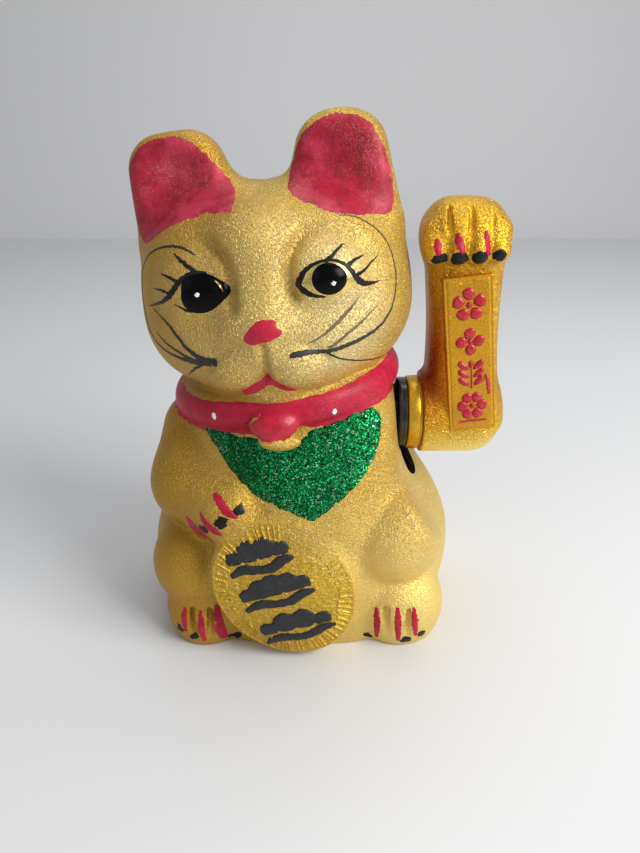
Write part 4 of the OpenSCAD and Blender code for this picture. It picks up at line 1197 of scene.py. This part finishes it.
# invented motif, a cloud over a rolling wave, three times down the coin
coin_marks = []
for mid, w, h, lobes, tilt in (((-9.4, 16.6), 12.4, 8.6, 3, 16), ((-3.0, 1.2), 14.2, 9.4, 4, 18),
                               ((4.6, -16.0), 14.6, 9.6, 3, 16)):
    coin_marks.append(to_lean(turned(cloud(w, h, lobes), mid, tilt)))
    k = w / 12.0
    wave = [(-11 * k, -5.2, 2.6), (-6.4 * k, -3.7, 4.2), (-1.6 * k, -5.0, 3.8), (3.4 * k, -5.4, 4.0),
            (8.2 * k, -3.4, 4.2), (11.4 * k, -3.6, 2.4)]
    coin_marks.append(brush_outline(to_lean(turned(wave, mid, tilt))))
films("coin_marks", coin_marks, on_coin, M["coinblack"], thick=0.62, ease=0.45, step=0.5, ragged=0.16,
    smooth=False)


# ------------------------------------------------------------ panel on the arm
def on_panel(uv):
    """u across and v up the panel, in mm from its middle."""
    uv = np.asarray(uv, np.float32)
    t, c, k = PLATE_TURN, math.cos(PLATE_LEAN), math.sin(PLATE_LEAN)
    y = -2.48  # the sunk field's face
    x = uv[:, 0] * math.cos(t) - uv[:, 1] * math.sin(t)
    z = uv[:, 0] * math.sin(t) + uv[:, 1] * math.cos(t)
    at = np.stack([x + PLATE_MID[0], y * c + z * k + PLATE_MID[1], -y * k + z * c + PLATE_MID[2]], -1)
    return at.astype(np.float32), np.tile(np.array([[0, -c, k]], np.float32), (len(uv), 1))


def petal(c, ang, r0, r1, w):
    """Egg-shaped outline from r0 to r1 out of c, w wide."""
    a = math.radians(ang)
    ux, uz = math.cos(a), math.sin(a)
    out = []
    for i in range(16):
        t = 2 * math.pi * i / 16
        u = (r0 + r1) / 2 + (r1 - r0) / 2 * math.cos(t)
        s = w / 2 * math.sin(t) * (1 + 0.25 * math.cos(t))
        out.append((c[0] + ux * u - uz * s, c[1] + uz * u + ux * s))
    return out


def blossom(c, r, n=5, turn=90):
    petals = [petal(c, turn + 360 * i / n, r * 0.26, r, r * 0.74) for i in range(n)]
    return petals + [disc_outline(c, r * 0.2, 12)]


motif_films = blossom((0.0, 19.8), 6.3) + blossom((0.0, -20.0), 5.8, 6, 60)
for dx, dz in ((0, 3.1), (3.3, 0), (0, -3.1), (-3.3, 0)):
    motif_films.append(disc_outline((dx, 5.9 + dz), 2.35, 14, 0.9, 45))
motif_films.append(disc_outline((0, 5.9), 1.1, 12))
for s in (-1, 1):
    for k in range(3):
        motif_films.append(petal((0.0, -12.2 + 3.2 * k), 90 - s * 52, 0.9, 6.3, 2.5))
motif_films.append(petal((0.0, -4.8), 90, 0.2, 3.2, 2.2))
M["motif"] = enamel("panel_red", (0.50, 0.010, 0.03), (0.36, 0.006, 0.014), rough=0.3, coat=0.25, gild=0.5,
                    grain=0.0016, height=0.00006)
films("panel_motifs", motif_films, on_panel, M["motif"], AR, thick=0.7, ease=0.45, step=0.55, ragged=0.08)
strokes("panel_bar_and_stem", [[(-5.6, -26.6, 0.9), (0, -26.3, 1.1), (5.4, -26.5, 0.8)], [(0, -12.6, 0.8),
    (0, -4.4, 0.6)], [(5.3, -7.4, 0.6), (6.3, -11, 1.6), (6.6, -15.6, 1.2)]], on_panel, M["motif"], AR,
    thick=0.35)


# ------------------------------------------------------------ arm drive, base and inside parts
def lathe_x(name, profile, material, replaces, n=128):
    """Turned piece about the swing axis; profile is a closed loop of (x, radius)."""
    m = len(profile)
    v = [(x, r * math.cos(a), PIVOT_Z + r * math.sin(a))
         for a in np.arange(n) * 2 * math.pi / n for x, r in profile]
    f = [(i * m + j, i * m + (j + 1) % m, ((i + 1) % n) * m + (j + 1) % m, ((i + 1) % n) * m + j)
         for i in range(n) for j in range(m)]
    ob = mesh_object(name, np.array(v), f, material)
    face_outward(ob.data)
    ob.data.shade_smooth()
    ob.data.set_sharp_from_angle(angle=math.radians(35))
    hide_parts(replaces)
    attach(ob, ARM)


M["hub"] = plain("hub_black", (0.018, 0.018, 0.02), rough=0.25, coat=0.3, height=0.00001)
lathe_x("arm_disc", [(38.8, 4.6), (38.8, 14.1), (39, 14.5), (39.4, 14.7), (40.4, 14.7), (40.5, 14.4),
    (40.8, 14.4), (40.9, 14.7), (41.9, 14.7), (42.3, 14.4), (42.4, 14.1), (42.4, 6), (62, 6), (62.4, 5.6),
    (62.4, 4.6), (61, 4.5), (61, 2), (32, 2), (32, 4.2), (32.3, 4.5)], M["hub"], "arm_hub")
lathe_x("arm_collar", [(42.45, 6.1), (42.45, 14.6), (42.7, 15), (43, 15.15), (46.6, 15.5), (46.9, 15.4),
    (47.1, 15), (47.15, 14.5), (48.05, 14.5), (48.05, 6.1)], M["ring"], "arm_socket_ring")

# node, then its finish: name, colour, roughness, metalness, grain, relief in metres, clear coat
INSIDE = (
    ("base_plate", "base_plastic", (0.05, 0.05, 0.052), 0.5, 0.0, 900, 0.00004),
    ("battery_cover", "cover_plastic", (0.06, 0.06, 0.062), 0.45, 0.0, 900, 0.00004),
    ("battery_cell", "cell_sleeve", (0.35, 0.37, 0.40), 0.25, 0.7),
    ("battery_spring", "spring_steel", (0.75, 0.75, 0.73), 0.25, 1.0),
    ("battery_contact", "contact_steel", (0.75, 0.75, 0.73), 0.25, 1.0),
    ("mechanism_frame", "frame_plastic", (0.78, 0.77, 0.72), 0.45),
    ("bush_inner", "bush_brass_a", (0.72, 0.52, 0.2), 0.3, 1.0),
    ("bush_outer", "bush_brass_b", (0.72, 0.52, 0.2), 0.3, 1.0),
    ("swing_axle", "axle_steel", (0.6, 0.6, 0.61), 0.25, 1.0),
    ("axle_clips", "clip_steel", (0.35, 0.35, 0.36), 0.35, 1.0),
    ("pendulum_lever", "lever_plastic", (0.80, 0.78, 0.70), 0.45),
    ("lever_set_screw", "set_screw_steel", (0.3, 0.3, 0.31), 0.35, 1.0),
    ("counterweight", "weight_steel", (0.45, 0.45, 0.46), 0.45, 1.0, 900, 0.00006),
    ("drive_magnet", "magnet_nickel", (0.75, 0.74, 0.71), 0.15, 1.0),
    ("coil_bobbin", "bobbin_plastic", (0.82, 0.81, 0.76), 0.45),
    ("coil_winding", "winding_copper", (0.70, 0.28, 0.10), 0.3, 0.9, 4200, 0.00008),
    ("coil_core", "core_steel", (0.5, 0.5, 0.51), 0.4, 1.0),
    ("drive_board", "board_mask", (0.02, 0.20, 0.07), 0.3, 0.0, 900, 0.00002, 0.3),
    ("transistor", "transistor_case", (0.03, 0.03, 0.03), 0.5),
    ("capacitor", "capacitor_sleeve", (0.04, 0.06, 0.22), 0.35),
    ("resistors", "resistor_lacquer", (0.66, 0.50, 0.30), 0.35),
    ("board_screws", "board_screw_steel", (0.65, 0.65, 0.64), 0.3, 1.0),
    ("frame_screws", "frame_screw_steel", (0.65, 0.65, 0.64), 0.3, 1.0),
    ("base_screws", "base_screw_steel", (0.55, 0.55, 0.54), 0.35, 1.0),
    ("switch_body", "switch_case", (0.04, 0.04, 0.04), 0.45),
    ("switch_knob", "switch_knob_white", (0.8, 0.8, 0.78), 0.4),
    ("lead_red", "lead_red_pvc", (0.6, 0.02, 0.015), 0.35),
    ("lead_black", "lead_black_pvc", (0.02, 0.02, 0.02), 0.35),
    ("lead_switch", "lead_orange_pvc", (0.75, 0.28, 0.03), 0.35),
)
NO_BEVEL = ("battery_spring", "lead_red", "lead_black", "lead_switch", "coil_winding")
for node, *finish in INSIDE:
    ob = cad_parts[node]
    ob.data.materials.clear()
    ob.data.materials.append(plain(*finish))
    if node not in NO_BEVEL:
        edge = ob.modifiers.new("edge", "BEVEL")
        edge.width = 0.00018 if node not in ("base_plate", "counterweight", "mechanism_frame") else 0.0004
        edge.segments = 2
        edge.limit_method = "ANGLE"
        edge.angle_limit = math.radians(50)
        edge.use_clamp_overlap = True

# ------------------------------------------------------------ stage, light and camera
floor_mat = Nodes("pale_table")
fn = floor_mat.noise(900, 3.0, 0.6)
floor_mat.set(color=(0.70, 0.71, 0.72), rough=0.42, normal=floor_mat.bump(fn, 0.15, 0.00003))
wall_mat = Nodes("pale_wall")
wn = wall_mat.noise(420, 4.0, 0.6)
wall_mat.set(color=(0.78, 0.78, 0.785), rough=0.6, normal=wall_mat.bump(wn, 0.2, 0.0001))
corners = [(-1600, -1200, 0), (1600, -1200, 0), (1600, 900, 0), (-1600, 900, 0)]
table = mesh_object("table_top", np.array(corners), [(0, 1, 2, 3)], floor_mat.mat)
n_arc = 24  # steps of the sweep from floor to wall
arc = [(900 + 300 * math.sin(math.pi / 2 * i / n_arc), 300 - 300 * math.cos(math.pi / 2 * i / n_arc))
       for i in range(n_arc + 1)] + [(1200, 1500)]
wall_v = [(x, y, z) for (y, z) in arc for x in (-1600, 1600)]
wall = mesh_object("back_wall", np.array(wall_v, float),
                   [(2 * i, 2 * i + 1, 2 * i + 3, 2 * i + 2) for i in range(len(arc) - 1)], wall_mat.mat)

bpy.context.scene.view_settings.view_transform = "Standard"
world = bpy.data.worlds.new("studio")
bpy.context.scene.world = world
world.use_nodes = True
back = world.node_tree.nodes["Background"]
back.inputs[0].default_value = (0.93, 0.96, 1.0, 1)
back.inputs[1].default_value = 0.34


def softbox(name, place, aim, size, power, colour=(1, 1, 1), tall=None):
    light = bpy.data.lights.new(name, "AREA")
    light.energy = power
    light.color = colour
    light.shape = "RECTANGLE"
    light.size = size
    light.size_y = tall or size
    ob = bpy.data.objects.new(name, light)
    ob.location = place
    ob.rotation_euler = (Vector(aim) - Vector(place)).to_track_quat("-Z", "Y").to_euler()
    bpy.context.scene.collection.objects.link(ob)


softbox("window", (0.70, -0.42, 0.60), (0, 0, 0.10), 0.55, 10.0, (1.0, 0.98, 0.96))
softbox("fill", (-0.8, -0.55, 0.5), (0, 0, 0.10), 0.7, 0.8, (0.95, 0.97, 1.0))
softbox("top", (0.05, 0.2, 0.95), (0, 0, 0.1), 0.6, 2.6)

cam = bpy.data.cameras.new("camera")
cam.sensor_fit = "AUTO"
cam.sensor_width = 36
cam.lens = 27.4
cam_ob = bpy.data.objects.new("camera", cam)
cam_ob.location = (0.007, -0.248, 0.200)
cam_ob.rotation_euler = (math.radians(64), 0, 0)
bpy.context.scene.collection.objects.link(cam_ob)
bpy.context.scene.camera = cam_ob
